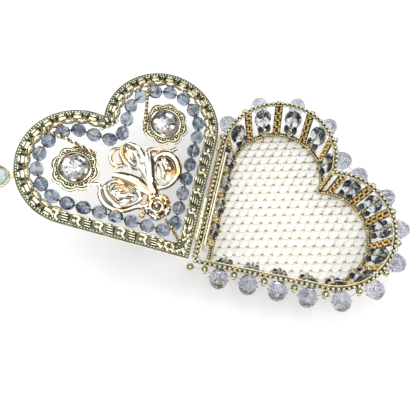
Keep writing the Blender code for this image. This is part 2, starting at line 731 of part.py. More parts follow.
def stand_at_origin(root):
    """Moves the whole box so that the middle of its footprint box is at the origin, on the ground."""
    bpy.context.view_layer.update()
    graph = bpy.context.evaluated_depsgraph_get()
    corners = []
    for obj in bpy.context.scene.objects:
        if obj.type == "MESH" and not obj.hide_render:
            shape = obj.evaluated_get(graph)
            corners += [obj.matrix_world @ vertex.co for vertex in shape.data.vertices]
    low = Vector(min(corner[i] for corner in corners) for i in range(3))
    high = Vector(max(corner[i] for corner in corners) for i in range(3))
    middle = (low + high) / 2.0
    root.location = (-middle.x, -middle.y, -low.z)


def main():
    for obj in list(bpy.data.objects):
        bpy.data.objects.remove(obj)
    gold = finish("pale_gold_plate", (0.80, 0.68, 0.42), 0.28, 1.0)
    post_gold = finish("yellow_gold_strip", (0.78, 0.56, 0.22), 0.32, 1.0)
    flower_gold = finish("polished_flower_gold", (0.93, 0.76, 0.48), 0.14, 1.0)
    wire_gold = finish("brown_gold_wire", (0.55, 0.38, 0.18), 0.3, 1.0)
    clear = finish("clear_crystal", (0.86, 0.88, 0.94), 0.02, 0.0, 1.0)
    blue = finish("blue_grey_crystal", (0.55, 0.62, 0.74), 0.02, 0.0, 1.0)
    stone = finish("rhinestone", (0.85, 0.82, 0.86), 0.03, 0.0, 0.8)
    opal = finish("opal", (0.80, 0.93, 0.88), 0.12, 0.0)

    root = empty("arras_box", (0.0, 0.0, 0.0))
    plan_turn = (0.0, 0.0, -RIM.half_angle)
    basket = empty("basket", (HINGE_STANDOFF, 0.0, 0.0), root, plan_turn)
    axis = empty("hinge_axis", (0.0, 0.0, HINGE_HEIGHT), root)
    lid_axis = empty("lid_hinge", (0.0, 0.0, HINGE_HEIGHT), root, (0.0, -OPEN_ANGLE, 0.0))
    over_axis = LID_HEIGHT - HINGE_HEIGHT
    lid = empty("lid_plan", (HINGE_STANDOFF, 0.0, over_axis), lid_axis, plan_turn)

    free, hinge, lobe = post_places()
    low = add_rims(basket, gold)
    add_floor_mesh(basket, gold, low)
    add_posts(basket, post_gold, free + hinge + lobe)
    lobe_bays = bay_places(hinge[-1:] + lobe)
    free_bays = bay_places(free)
    add_bay_wires(basket, blue, free_bays + bay_places(hinge) + lobe_bays)
    add_garland(basket, clear, free_bays + lobe_bays, free[:-1] + hinge[-1:] + lobe[:-1])
    add_hinge(axis, lid_axis, wire_gold)

    add_lid_band(lid, gold)
    half, pitch = add_bead_loop(lid, blue)
    for side in (FREE, HINGE):
        add_medallion(lid, side, gold, stone)
    add_twisted_wires(lid, wire_gold, half, pitch)
    add_flower(lid, flower_gold)
    add_clasp(lid, gold, opal)
    stand_at_origin(root)


main()
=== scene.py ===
"""Looks of a heart-shaped wedding arras box: a wire and bead basket with an openwork lid, laid open.

Basket and lid share one heart plan, whose tip is its origin and whose axis is +Y. Its free side is +X
and its hinge side -X. The basket's plan is turned until its hinge side runs along the world's Y. The
lid's plan is turned back on the hinge, and its +Z is the face that looks up while the lid is open.
Metres, with +Z up.
"""

import json
import logging
import math
from dataclasses import dataclass, field
from enum import Enum
from random import Random
from typing import Sequence

import bmesh
import bpy
from bmesh.types import BMesh, BMFace, BMVert
from bpy.types import Material, Mesh, Node, NodeTree, Object, ShaderNodeTree
from mathutils import Matrix, Vector

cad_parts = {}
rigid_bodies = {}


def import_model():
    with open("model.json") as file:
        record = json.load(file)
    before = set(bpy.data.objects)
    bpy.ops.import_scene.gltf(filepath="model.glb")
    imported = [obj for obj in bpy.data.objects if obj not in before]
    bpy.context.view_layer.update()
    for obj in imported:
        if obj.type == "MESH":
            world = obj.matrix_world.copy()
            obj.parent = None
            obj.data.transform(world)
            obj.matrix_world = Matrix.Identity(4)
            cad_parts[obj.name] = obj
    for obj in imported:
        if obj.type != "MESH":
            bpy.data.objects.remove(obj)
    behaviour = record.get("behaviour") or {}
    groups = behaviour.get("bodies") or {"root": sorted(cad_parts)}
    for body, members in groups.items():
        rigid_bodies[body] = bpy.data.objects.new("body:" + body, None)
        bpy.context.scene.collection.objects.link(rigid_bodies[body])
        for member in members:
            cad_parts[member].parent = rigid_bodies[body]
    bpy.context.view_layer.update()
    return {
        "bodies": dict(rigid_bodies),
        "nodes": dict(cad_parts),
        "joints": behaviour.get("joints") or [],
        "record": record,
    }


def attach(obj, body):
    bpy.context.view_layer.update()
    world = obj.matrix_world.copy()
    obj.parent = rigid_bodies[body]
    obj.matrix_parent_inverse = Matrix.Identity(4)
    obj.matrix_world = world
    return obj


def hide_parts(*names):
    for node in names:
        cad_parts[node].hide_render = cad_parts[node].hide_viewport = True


LOG = logging.getLogger("arras_box")
MM = 0.001
UP = Vector((0.0, 0.0, 1.0))
Colour = tuple[float, float, float]
# the attribute that carries the painted light of cut stones: a painted glint or painted shade on each facet
PAINTED_LIGHT_ATTRIBUTE = "facet_tint"


class Side(Enum):
    """The two sides of the heart, by the sign of X in its plan."""

    FREE = 1
    HINGE = -1


class Body(Enum):
    """The bodies that pieces ride on."""

    BASE = "base"
    LID = "lid"


class Slot(Enum):
    """The material slots of the record."""

    PALE_GOLD = "pale_gold"
    POST_GOLD = "post_gold"
    INNER_BEADS = "inner_beads"
    CLEAR_CRYSTAL = "clear_crystal"
    HINGE_GOLD = "hinge_gold"
    LID_BEADS = "lid_beads"
    RHINESTONE = "rhinestone"
    FLOWER_GOLD = "flower_gold"
    OPAL = "opal"


# Shader helpers


def socket(tree: NodeTree, name: str, kind: str, is_input: bool, value: float | None = None) -> None:
    """Adds a named socket to a node group.

    Args:
        tree: the group.
        name: the socket's name.
        kind: Float, Color or Vector.
        is_input: whether it goes in rather than out.
        value: the default of an input.
    """
    made = tree.interface.new_socket(
        name=name, in_out="INPUT" if is_input else "OUTPUT", socket_type=f"NodeSocket{kind}"
    )
    if value is not None:
        made.default_value = value


def node(tree: NodeTree, kind: str, values: dict | None = None, **settings: object) -> Node:
    """Adds a node.

    Args:
        tree: the tree that it goes in.
        kind: the node's type, without its ShaderNode prefix.
        values: defaults of its input sockets, by name or index.
        settings: its own properties.

    Returns:
        The node.
    """
    made = tree.nodes.new(kind if kind.startswith("Node") else f"ShaderNode{kind}")
    for key, value in settings.items():
        setattr(made, key, value)
    for key, value in (values or {}).items():
        made.inputs[key].default_value = value
    return made


def ramp(tree: NodeTree, stops: Sequence[tuple[float, Colour]], mode: str = "LINEAR") -> Node:
    """Adds a colour ramp.

    Args:
        tree: the tree that it goes in.
        stops: each stop's place and colour.
        mode: its interpolation.

    Returns:
        The node.
    """
    made = tree.nodes.new("ShaderNodeValToRGB")
    made.color_ramp.interpolation = mode
    while len(made.color_ramp.elements) < len(stops):
        made.color_ramp.elements.new(1.0)
    for element, (place, colour) in zip(made.color_ramp.elements, stops):
        element.position = place
        element.color = (*colour, 1.0)
    return made


def cast_grain_group() -> ShaderNodeTree:
    """The soft unevenness of cast and plated metal: a broad mask and a fine height."""
    tree = bpy.data.node_groups.new("cast_grain", "ShaderNodeTree")
    socket(tree, "Patch Scale", "Float", True, 240.0)
    socket(tree, "Grain Scale", "Float", True, 2600.0)
    socket(tree, "Patch Start", "Float", True, 0.32)
    socket(tree, "Patches", "Float", False)
    socket(tree, "Height", "Float", False)
    inlet = node(tree, "NodeGroupInput")
    outlet = node(tree, "NodeGroupOutput")
    place = node(tree, "TexCoord")
    patches = node(tree, "TexNoise", {"Detail": 3.0, "Roughness": 0.6})
    grain = node(tree, "TexNoise", {"Detail": 2.0, "Roughness": 0.5})
    spread = node(tree, "MapRange", {"From Max": 0.68})
    join = tree.links.new
    join(place.outputs["Object"], patches.inputs["Vector"])
    join(place.outputs["Object"], grain.inputs["Vector"])
    join(inlet.outputs["Patch Scale"], patches.inputs["Scale"])
    join(inlet.outputs["Grain Scale"], grain.inputs["Scale"])
    join(inlet.outputs["Patch Start"], spread.inputs["From Min"])
    join(patches.outputs["Fac"], spread.inputs["Value"])
    join(spread.outputs["Result"], outlet.inputs["Patches"])
    join(grain.outputs["Fac"], outlet.inputs["Height"])
    return tree


def tarnish_and_shade_group() -> ShaderNodeTree:
    """Tarnish in the hollows of the surface, and painted shade in the gaps between close neighbours."""
    tree = bpy.data.node_groups.new("relief", "ShaderNodeTree")
    socket(tree, "Reach", "Float", True, 0.08)
    socket(tree, "Gap", "Float", True, 0.9 * MM)
    socket(tree, "Hollow", "Float", False)
    inlet = node(tree, "NodeGroupInput")
    outlet = node(tree, "NodeGroupOutput")
    shape = node(tree, "NewGeometry")
    low = node(tree, "Math", {0: 0.5}, operation="SUBTRACT")
    hollow = node(tree, "MapRange", {"From Max": 0.5, "To Min": 1.0, "To Max": 0.0})
    # Painted shade: the ambient occlusion darkens the gaps between close neighbours, where shade falls.
    nearby = node(tree, "AmbientOcclusion", samples=4)
    painted_gap_shade = node(tree, "MapRange", {"From Min": 0.25, "From Max": 0.85, "To Min": 1.0, "To Max": 0.0})
    both = node(tree, "Math", operation="MAXIMUM")
    join = tree.links.new
    join(inlet.outputs["Reach"], low.inputs[1])
    join(inlet.outputs["Gap"], nearby.inputs["Distance"])
    join(shape.outputs["Pointiness"], hollow.inputs["Value"])
    join(low.outputs["Value"], hollow.inputs["From Min"])
    join(nearby.outputs["AO"], painted_gap_shade.inputs["Value"])
    join(hollow.outputs["Result"], both.inputs[0])
    join(painted_gap_shade.outputs["Result"], both.inputs[1])
    join(both.outputs["Value"], outlet.inputs["Hollow"])
    return tree


def shared(name: str) -> ShaderNodeTree:
    """The node group of this name, made at its first use."""
    makers = {"cast_grain": cast_grain_group, "relief": tarnish_and_shade_group}
    return bpy.data.node_groups.get(name) or makers[name]()


def blank_material(name: str) -> tuple[Material, Node]:
    """A material with its Principled shader."""
    material = bpy.data.materials.new(name)
    material.use_nodes = True
    return material, material.node_tree.nodes["Principled BSDF"]


# Finishes


@dataclass(frozen=True)
class PlatedMetal:
    """Gold plate over cast or drawn brass: tarnished in the hollows, darkened by painted shade in the gaps between
    close neighbours, and rubbed bright on the crests.
    """

    name: str
    colour: Colour
    dull: Colour
    # hollow: the colour of the tarnish in the hollows and of the painted shade in the gaps
    hollow: Colour
    smoothest: float = 0.14
    roughest: float = 0.34
    bump: float = 0.5
    patch_scale: float = 240.0
    patch_start: float = 0.32
    grain_scale: float = 1500.0
    relief_reach: float = 0.08
    # gap: how far the painted shade between close neighbours reaches
    gap: float = 0.9 * MM

    def build(self) -> Material:
        """Makes the material."""
        material, shader = blank_material(self.name)
        tree = material.node_tree
        join = tree.links.new
        grain = node(tree, "Group", node_tree=shared("cast_grain"))
        grain.inputs["Patch Scale"].default_value = self.patch_scale
        grain.inputs["Grain Scale"].default_value = self.grain_scale
        grain.inputs["Patch Start"].default_value = self.patch_start
        relief = node(tree, "Group", node_tree=shared("relief"))
        relief.inputs["Reach"].default_value = self.relief_reach
        relief.inputs["Gap"].default_value = self.gap
        patches = node(tree, "Mix", data_type="RGBA")
        patches.inputs["A"].default_value = (*self.colour, 1.0)
        patches.inputs["B"].default_value = (*self.dull, 1.0)
        # tarnish in the hollows and painted shade in the gaps, laid over the patches
        tarnished_and_shaded = node(tree, "Mix", data_type="RGBA")
        tarnished_and_shaded.inputs["B"].default_value = (*self.hollow, 1.0)
        gloss = node(tree, "MapRange", {"To Min": self.smoothest, "To Max": self.roughest})
        bump = node(tree, "Bump", {"Strength": self.bump, "Distance": 0.12 * MM})
        join(grain.outputs["Patches"], patches.inputs["Factor"])
        join(patches.outputs["Result"], tarnished_and_shaded.inputs["A"])
        join(relief.outputs["Hollow"], tarnished_and_shaded.inputs["Factor"])
        join(tarnished_and_shaded.outputs["Result"], shader.inputs["Base Color"])
        join(grain.outputs["Patches"], gloss.inputs["Value"])
        join(gloss.outputs["Result"], shader.inputs["Roughness"])
        join(grain.outputs["Height"], bump.inputs["Height"])
        join(bump.outputs["Normal"], shader.inputs["Normal"])
        shader.inputs["Metallic"].default_value = 1.0
        return material


@dataclass(frozen=True)
class CutGlass:
    """Clear or tinted crystal, with painted light on each facet, a painted glint or painted shade, through the
    piece's attribute.
    """

    name: str
    tint: Colour
    shade: Colour
    ior: float = 1.56
    patch_scale: float = 420.0

    def build(self) -> Material:
        """Makes the material."""
        material, shader = blank_material(self.name)
        tree = material.node_tree
        grain = node(tree, "Group", node_tree=shared("cast_grain"))
        grain.inputs["Patch Scale"].default_value = self.patch_scale
        tint = node(tree, "Mix", data_type="RGBA")
        tint.inputs["A"].default_value = (*self.tint, 1.0)
        tint.inputs["B"].default_value = (*self.shade, 1.0)
        # painted light: the glint or shade painted on each facet
        facets = node(tree, "Attribute", attribute_name=PAINTED_LIGHT_ATTRIBUTE)
        cut = node(tree, "Mix", {"Factor": 1.0}, data_type="RGBA", blend_type="MULTIPLY")
        tree.links.new(grain.outputs["Patches"], tint.inputs["Factor"])
        tree.links.new(tint.outputs["Result"], cut.inputs["A"])
        tree.links.new(facets.outputs["Color"], cut.inputs["B"])
        tree.links.new(cut.outputs["Result"], shader.inputs["Base Color"])
        shader.inputs["Roughness"].default_value = 0.02
        shader.inputs["IOR"].default_value = self.ior
        shader.inputs["Transmission Weight"].default_value = 1.0
        return material


@dataclass(frozen=True)
class Foil:
    """A foiled rhinestone under its glossy skin, with painted glints and painted shade on its facets through the
    piece's attribute.
    """

    name: str

    def build(self) -> Material:
        """Makes the material."""
        material, shader = blank_material(self.name)
        tree = material.node_tree
        grain = node(tree, "Group", node_tree=shared("cast_grain"))
        # painted light: the glint or shade painted on each facet
        facets = node(tree, "Attribute", attribute_name=PAINTED_LIGHT_ATTRIBUTE)
        tint = node(tree, "Mix", data_type="RGBA", blend_type="MULTIPLY")
        tint.inputs["B"].default_value = (0.86, 0.86, 0.9, 1.0)
        tree.links.new(facets.outputs["Color"], tint.inputs["A"])
        tree.links.new(grain.outputs["Patches"], tint.inputs["Factor"])
        tree.links.new(tint.outputs["Result"], shader.inputs["Base Color"])
        shader.inputs["Metallic"].default_value = 0.7
        shader.inputs["Roughness"].default_value = 0.12
        shader.inputs["Coat Weight"].default_value = 0.8
        return material


@dataclass(frozen=True)
class MilkOpal:
    """Mint-white opal glass with a clear glossy skin."""

    name: str
    body: Colour
    cloud: Colour

    def build(self) -> Material:
        """Makes the material."""
        material, shader = blank_material(self.name)
        tree = material.node_tree
        grain = node(tree, "Group", node_tree=shared("cast_grain"))
        grain.inputs["Patch Scale"].default_value = 330.0
        tint = node(tree, "Mix", data_type="RGBA")
        tint.inputs["A"].default_value = (*self.body, 1.0)
        tint.inputs["B"].default_value = (*self.cloud, 1.0)
        tree.links.new(grain.outputs["Patches"], tint.inputs["Factor"])
        tree.links.new(tint.outputs["Result"], shader.inputs["Base Color"])
        shader.inputs["Roughness"].default_value = 0.12
        shader.inputs["Subsurface Weight"].default_value = 0.35
        shader.inputs["Subsurface Scale"].default_value = 0.002
        shader.inputs["Coat Weight"].default_value = 0.8
        return material


@dataclass(frozen=True)
class PaleFloor:
    """A plain white studio floor with a faint paper grain."""

    name: str = "studio_floor"
    colour: Colour = (0.93, 0.93, 0.94)
    glow: float = 0.3

    def build(self) -> Material:
        """Makes the material."""
        material, shader = blank_material(self.name)
        tree = material.node_tree
        grain = node(tree, "Group", node_tree=shared("cast_grain"))
        grain.inputs["Patch Scale"].default_value = 9.0
        grain.inputs["Grain Scale"].default_value = 700.0
        tint = node(tree, "Mix", data_type="RGBA")
        tint.inputs["A"].default_value = (*self.colour, 1.0)
        tint.inputs["B"].default_value = (0.91, 0.91, 0.925, 1.0)
        tree.links.new(grain.outputs["Patches"], tint.inputs["Factor"])
        tree.links.new(tint.outputs["Result"], shader.inputs["Base Color"])
        shader.inputs["Roughness"].default_value = 0.8
        shader.inputs["Emission Color"].default_value = (1.0, 1.0, 1.0, 1.0)
        shader.inputs["Emission Strength"].default_value = self.glow
        return material


@dataclass
class Palette:
    """Every finish of the box, made once."""

    pale_gold: Material = field(init=False)
    cream_gold: Material = field(init=False)
    olive_ground: Material = field(init=False)
    yellow_gold: Material = field(init=False)
    dark_brass: Material = field(init=False)
    rope_gold: Material = field(init=False)
    flower_gold: Material = field(init=False)
    mesh_wire: Material = field(init=False)
    knot_gold: Material = field(init=False)
    clear_crystal: Material = field(init=False)
    bright_crystal: Material = field(init=False)
    smoke_crystal: Material = field(init=False)
    blue_crystal: Material = field(init=False)
    stone_foil: Material = field(init=False)
    opal: Material = field(init=False)

    def __post_init__(self) -> None:
        """Makes the materials."""
        self.pale_gold = PlatedMetal(
            "pale_gold", (0.90, 0.82, 0.54), (0.62, 0.60, 0.40), (0.10, 0.08, 0.03), 0.1, 0.28
        ).build()
        self.cream_gold = PlatedMetal(
            "cream_gold", (1.0, 0.94, 0.74), (0.92, 0.82, 0.58), (0.24, 0.17, 0.06), 0.08, 0.22
        ).build()
        self.olive_ground = PlatedMetal(
            "olive_ground", (0.23, 0.27, 0.19), (0.065, 0.085, 0.055), (0.01, 0.01, 0.005), 0.14, 0.34, 0.9
        ).build()
        self.yellow_gold = PlatedMetal(
            "yellow_gold", (1.0, 0.80, 0.38), (0.90, 0.64, 0.24), (0.10, 0.05, 0.01), 0.2, 0.38, gap=0.7 * MM
        ).build()
        # painted shade: a near-black metal laid in gaps and recesses where shade falls
        self.dark_brass = PlatedMetal(
            "dark_brass", (0.07, 0.045, 0.018), (0.03, 0.02, 0.01), (0.01, 0.006, 0.003), 0.3, 0.55
        ).build()
        self.rope_gold = PlatedMetal(
            "rope_gold", (0.76, 0.56, 0.26), (0.48, 0.32, 0.13), (0.05, 0.03, 0.01), 0.14, 0.32
        ).build()
        self.flower_gold = PlatedMetal(
            "flower_gold", (1.0, 0.96, 0.85), (0.96, 0.60, 0.20), (0.15, 0.11, 0.05), 0.05, 0.14, 0.45,
            patch_scale=110.0, patch_start=0.475, grain_scale=650.0, relief_reach=0.06, gap=1.8 * MM,
        ).build()
        self.mesh_wire = PlatedMetal(
            "mesh_wire", (0.94, 0.90, 0.78), (0.76, 0.70, 0.54), (0.34, 0.29, 0.18), 0.2, 0.4, gap=0.4 * MM
        ).build()
        self.knot_gold = PlatedMetal(
            "knot_gold", (0.38, 0.32, 0.18), (0.23, 0.20, 0.11), (0.05, 0.04, 0.02), 0.2, 0.4
        ).build()
        self.clear_crystal = CutGlass("clear_crystal", (0.90, 0.88, 0.93), (0.64, 0.63, 0.70)).build()
        # a brighter copy of the clear crystal: painted light for the bay beads, which sit in the shade inside the
        # basket
        self.bright_crystal = CutGlass("bright_crystal", (0.98, 0.99, 1.0), (0.80, 0.84, 0.88)).build()
        self.smoke_crystal = CutGlass("smoke_crystal", (0.16, 0.17, 0.20), (0.06, 0.07, 0.08)).build()
        self.blue_crystal = CutGlass("blue_crystal", (0.57, 0.61, 0.68), (0.33, 0.38, 0.46)).build()
        self.stone_foil = Foil("stone_foil").build()
        self.opal = MilkOpal("opal", (0.62, 0.86, 0.78), (0.84, 0.96, 0.92)).build()


# Shaping helpers


def pose(origin: Vector, along: Vector, up: Vector = UP) -> Matrix:
    """A frame at origin, with X along and Z as near to up as it can be.

    Args:
        origin: its place.
        along: the direction of its X.
        up: the direction that its Z leans to.

    Returns:
        The frame as a matrix.
    """
    x = along.normalized()
    y = up.cross(x).normalized()
    made = Matrix((x, y, x.cross(y))).transposed().to_4x4()
    made.translation = origin
    return made


def sized(across: float, along: float, high: float) -> Matrix:
    """A scaling by three sizes."""
    return Matrix.Diagonal((across, along, high, 1.0))


def faces_of(verts: Sequence[BMVert]) -> set[BMFace]:
    """The faces on these vertices."""
    return {face for vert in verts for face in vert.link_faces}


def dress(verts: Sequence[BMVert], finish: int, smooth: bool = True) -> Sequence[BMVert]:
    """Gives the faces on these vertices a finish, and smooth or flat shading."""
    for face in faces_of(verts):
        face.material_index = finish
        face.smooth = smooth
    return verts


def ball(
    shape: BMesh, matrix: Matrix, radius: float, finish: int = 0, turns: int = 8, rings: int = 6,
    smooth: bool = True,
) -> Sequence[BMVert]:
    """Adds a ball, or one drawn out by its matrix.

    Args:
        shape: what it is added to.
        matrix: its place, turn and stretch.
        radius: its radius before the stretch.
        finish: the index of its material.
        turns: its faces round the axis.
        rings: its faces from pole to pole.
        smooth: whether it is shaded smooth, rather than cut in facets.

    Returns:
        Its vertices.
    """
    made = bmesh.ops.create_uvsphere(
        shape, u_segments=turns, v_segments=rings, radius=radius, matrix=matrix
    )
    return dress(made["verts"], finish, smooth)


def block(
    shape: BMesh, matrix: Matrix, size: Vector, bevel: float, finish: int = 0
) -> None:
    """Adds a block with bevelled edges.

    Args:
        shape: what it is added to.
        matrix: its place and turn.
        size: its length, width and height.
        bevel: the width of the bevel.
        finish: the index of its material.
    """
    own = bmesh.new()
    bmesh.ops.create_cube(own, size=1.0, matrix=sized(*size))
    bmesh.ops.bevel(
        own, geom=own.edges[:], offset=bevel, segments=1, profile=0.5, affect="EDGES", material=-1
    )
    bmesh.ops.transform(own, matrix=matrix, verts=own.verts)
    dress(own.verts, finish)
    absorb(shape, own)


def absorb(shape: BMesh, own: BMesh) -> None:
    """Moves all of one bmesh into another."""
    mesh = bpy.data.meshes.new("passing")
    own.to_mesh(mesh)
    own.free()
    shape.from_mesh(mesh)
    bpy.data.meshes.remove(mesh)


def paint_facet_light(shape: BMesh, seed: int, shades: Sequence[Colour]) -> None:
    """Paints light on a cut piece: gives each face one of these shades, a painted glint or painted shade, for the
    finishes that read it.

    Args:
        shape: the cut piece.
        seed: what the choice starts from.
        shades: the shades to choose from.
    """
    chance = Random(seed)
    layer = shape.loops.layers.float_color.new(PAINTED_LIGHT_ATTRIBUTE)
    for face in shape.faces:
        shade = chance.choice(shades)
        for loop in face.loops:
            loop[layer] = (*shade, 1.0)


def tilt_facets(shape: BMesh, seed: int, reach: float) -> None:
    """Moves each corner of a cut piece a little, so that every facet catches the light in its own way.

    Args:
        shape: the cut piece.
        seed: what the moves start from.
        reach: how far a corner moves at most, along each axis.
    """
    chance = Random(seed)
    for vert in shape.verts:
        vert.co += Vector([chance.uniform(-reach, reach) for _ in range(3)])


# The painted light of each kind of cut stone: white shades are painted glints, grey and near-black ones painted
# shade, tinted ones painted coloured glints.
CLEAR_PAINTED_FACETS = (
    (1.0, 1.0, 1.0), (1.0, 1.0, 1.0), (1.0, 1.0, 1.0), (0.52, 0.53, 0.58), (0.22, 0.23, 0.26),
    (0.82, 0.82, 0.88), (0.74, 0.94, 0.94), (0.36, 0.37, 0.42),
)
BLUE_PAINTED_FACETS = (
    (1.0, 1.0, 1.0), (1.0, 1.0, 1.0), (1.0, 1.0, 1.0), (0.62, 0.68, 0.78), (0.34, 0.38, 0.46), (0.14, 0.17, 0.22),
    (0.55, 0.80, 0.90), (0.22, 0.25, 0.31),
)
BRIGHT_PAINTED_FACETS = (
    (1.0, 1.0, 1.0), (1.0, 1.0, 1.0), (0.95, 0.97, 1.0), (0.72, 0.76, 0.80), (0.42, 0.45, 0.49),
)
STONE_PAINTED_FACETS = (
    (0.56, 0.58, 0.66), (0.82, 0.80, 0.86), (1.0, 0.97, 0.90), (0.62, 0.40, 0.20), (1.0, 1.0, 1.0),
    (0.16, 0.17, 0.20), (0.90, 0.90, 0.92), (0.42, 0.38, 0.40), (0.90, 0.80, 0.60), (0.30, 0.30, 0.33),
)
DARK_PAINTED_FACETS = ((1.0, 1.0, 1.0), (0.5, 0.5, 0.55), (0.2, 0.2, 0.22))


class Stamp:
    """A small shape that is pressed many times over."""

    def __init__(self, own: BMesh) -> None:
        """Keeps the shape as a mesh."""
        self.mesh = bpy.data.meshes.new("stamp")
        own.to_mesh(self.mesh)
        own.free()

    def press(self, shape: BMesh, matrix: Matrix, finish: int = 0, smooth: bool = True) -> None:
        """Adds the shape at a place.

        Args:
            shape: what it is added to.
            matrix: its place, turn and stretch.
            finish: the index of its material.
            smooth: whether it is shaded smooth.
        """
        fresh = self.mesh.copy()
        fresh.transform(matrix)
        fresh.polygons.foreach_set("material_index", [finish] * len(fresh.polygons))
        fresh.polygons.foreach_set("use_smooth", [smooth] * len(fresh.polygons))
        shape.from_mesh(fresh)
        bpy.data.meshes.remove(fresh)


def bead_stamp(turns: int = 6, rings: int = 4) -> Stamp:
    """A ball of unit radius with few faces, for strings of hundreds."""
    own = bmesh.new()
    ball(own, Matrix.Identity(4), 1.0, turns=turns, rings=rings)
    return Stamp(own)


def wires(
    shape: BMesh, runs: Sequence[Sequence[Vector]], radius: float, finish: int = 0, sides: int = 6,
    closed: bool = False, taper: Sequence[float] | None = None,
) -> None:
    """Adds round wires.

    Args:
        shape: what they are added to.
        runs: the points of each wire's middle.
        radius: their radius.
        finish: the index of their material.
        sides: the faces round a wire: 4, 6, 8 or more.
        closed: whether each wire closes on itself.
        taper: each point's share of the radius.
    """
    curve = bpy.data.curves.new("wire", "CURVE")
    curve.dimensions = "3D"
    curve.bevel_depth = radius
    curve.bevel_resolution = sides // 2 - 2
    curve.use_fill_caps = True
    for run in runs:
        spline = curve.splines.new("POLY")
        spline.points.add(len(run) - 1)
        spline.use_cyclic_u = closed
        for i, point in enumerate(run):
            spline.points[i].co = (*point, 1.0)
            spline.points[i].radius = taper[i] if taper else 1.0
    carrier = bpy.data.objects.new("wire", curve)
    bpy.context.scene.collection.objects.link(carrier)
    mesh = bpy.data.meshes.new_from_object(carrier)
    own = bmesh.new()
    own.from_mesh(mesh)
    bpy.data.objects.remove(carrier)
    bpy.data.curves.remove(curve)
    bpy.data.meshes.remove(mesh)
    bmesh.ops.remove_doubles(own, verts=own.verts, dist=0.001 * MM)
    dress(own.verts, finish)
    absorb(shape, own)


def flowing(points: Sequence[Vector], steps: int = 6, closed: bool = False) -> list[Vector]:
    """A smooth path through a few points.

    Args:
        points: the points that it passes through.
        steps: how many pieces each span is cut in.
        closed: whether it closes on itself.

    Returns:
        The points of the path.
    """
    count = len(points)
    spans = count if closed else count - 1
    path = []
    for i in range(spans):
        places = [i - 1, i, i + 1, i + 2]
        if closed:
            before, one, other, after = (points[p % count] for p in places)
        else:
            before, one, other, after = (points[min(max(p, 0), count - 1)] for p in places)
        for k in range(steps):
            t = k / steps
            path.append(
                (one * 2.0 + (other - before) * t
                 + (before * 2.0 - one * 5.0 + other * 4.0 - after) * t * t
                 + (one * 3.0 - before - other * 3.0 + after) * t ** 3) * 0.5
            )
    if not closed:
        path.append(points[-1].copy())
    return path


def paced(path: Sequence[Vector], pitch: float, closed: bool = True) -> list[tuple[Vector, Vector]]:
    """Places at even steps along a path, with the step drawn out a little until it fits.

    Args:
        path: its points.
        pitch: the step wished for.
        closed: whether the path closes on itself.

    Returns:
        Each place and the direction of the path there.
    """
    ends = list(path) + ([path[0]] if closed else [])
    spans = [(one, other, (other - one).length) for one, other in zip(ends, ends[1:])]
    whole = sum(length for _, _, length in spans)
    count = max(1, round(whole / pitch))
    step = whole / count
    places, passed, index = [], 0.0, 0
    for i in range(count + (0 if closed else 1)):
        target = min(i * step, whole * 0.999999)
        while passed + spans[index][2] < target:
            passed += spans[index][2]
            index += 1
        one, other, length = spans[index]
        places.append((one.lerp(other, (target - passed) / length), (other - one).normalized()))
    return places


def twisted(
    path: Sequence[Vector], reach: float, turns: float, phase: float, steps: int = 96
) -> list[Vector]:
    """One strand wound round a path.

    Args:
        path: the middle of the cord.
        reach: the strand's distance from it.
        turns: how often it goes round.
        phase: where it starts, as an angle.
        steps: how many points it has.

    Returns:
        The points of the strand.
    """
    ends = list(path)
    whole = sum((other - one).length for one, other in zip(ends, ends[1:]))
    strand = []
    for i, (place, along) in enumerate(paced(ends, whole / steps, closed=False)):
        angle = phase + math.tau * turns * i / steps
        side = along.cross(UP).normalized()
        strand.append(place + side * reach * math.cos(angle) + side.cross(along) * reach * math.sin(angle))
    return strand


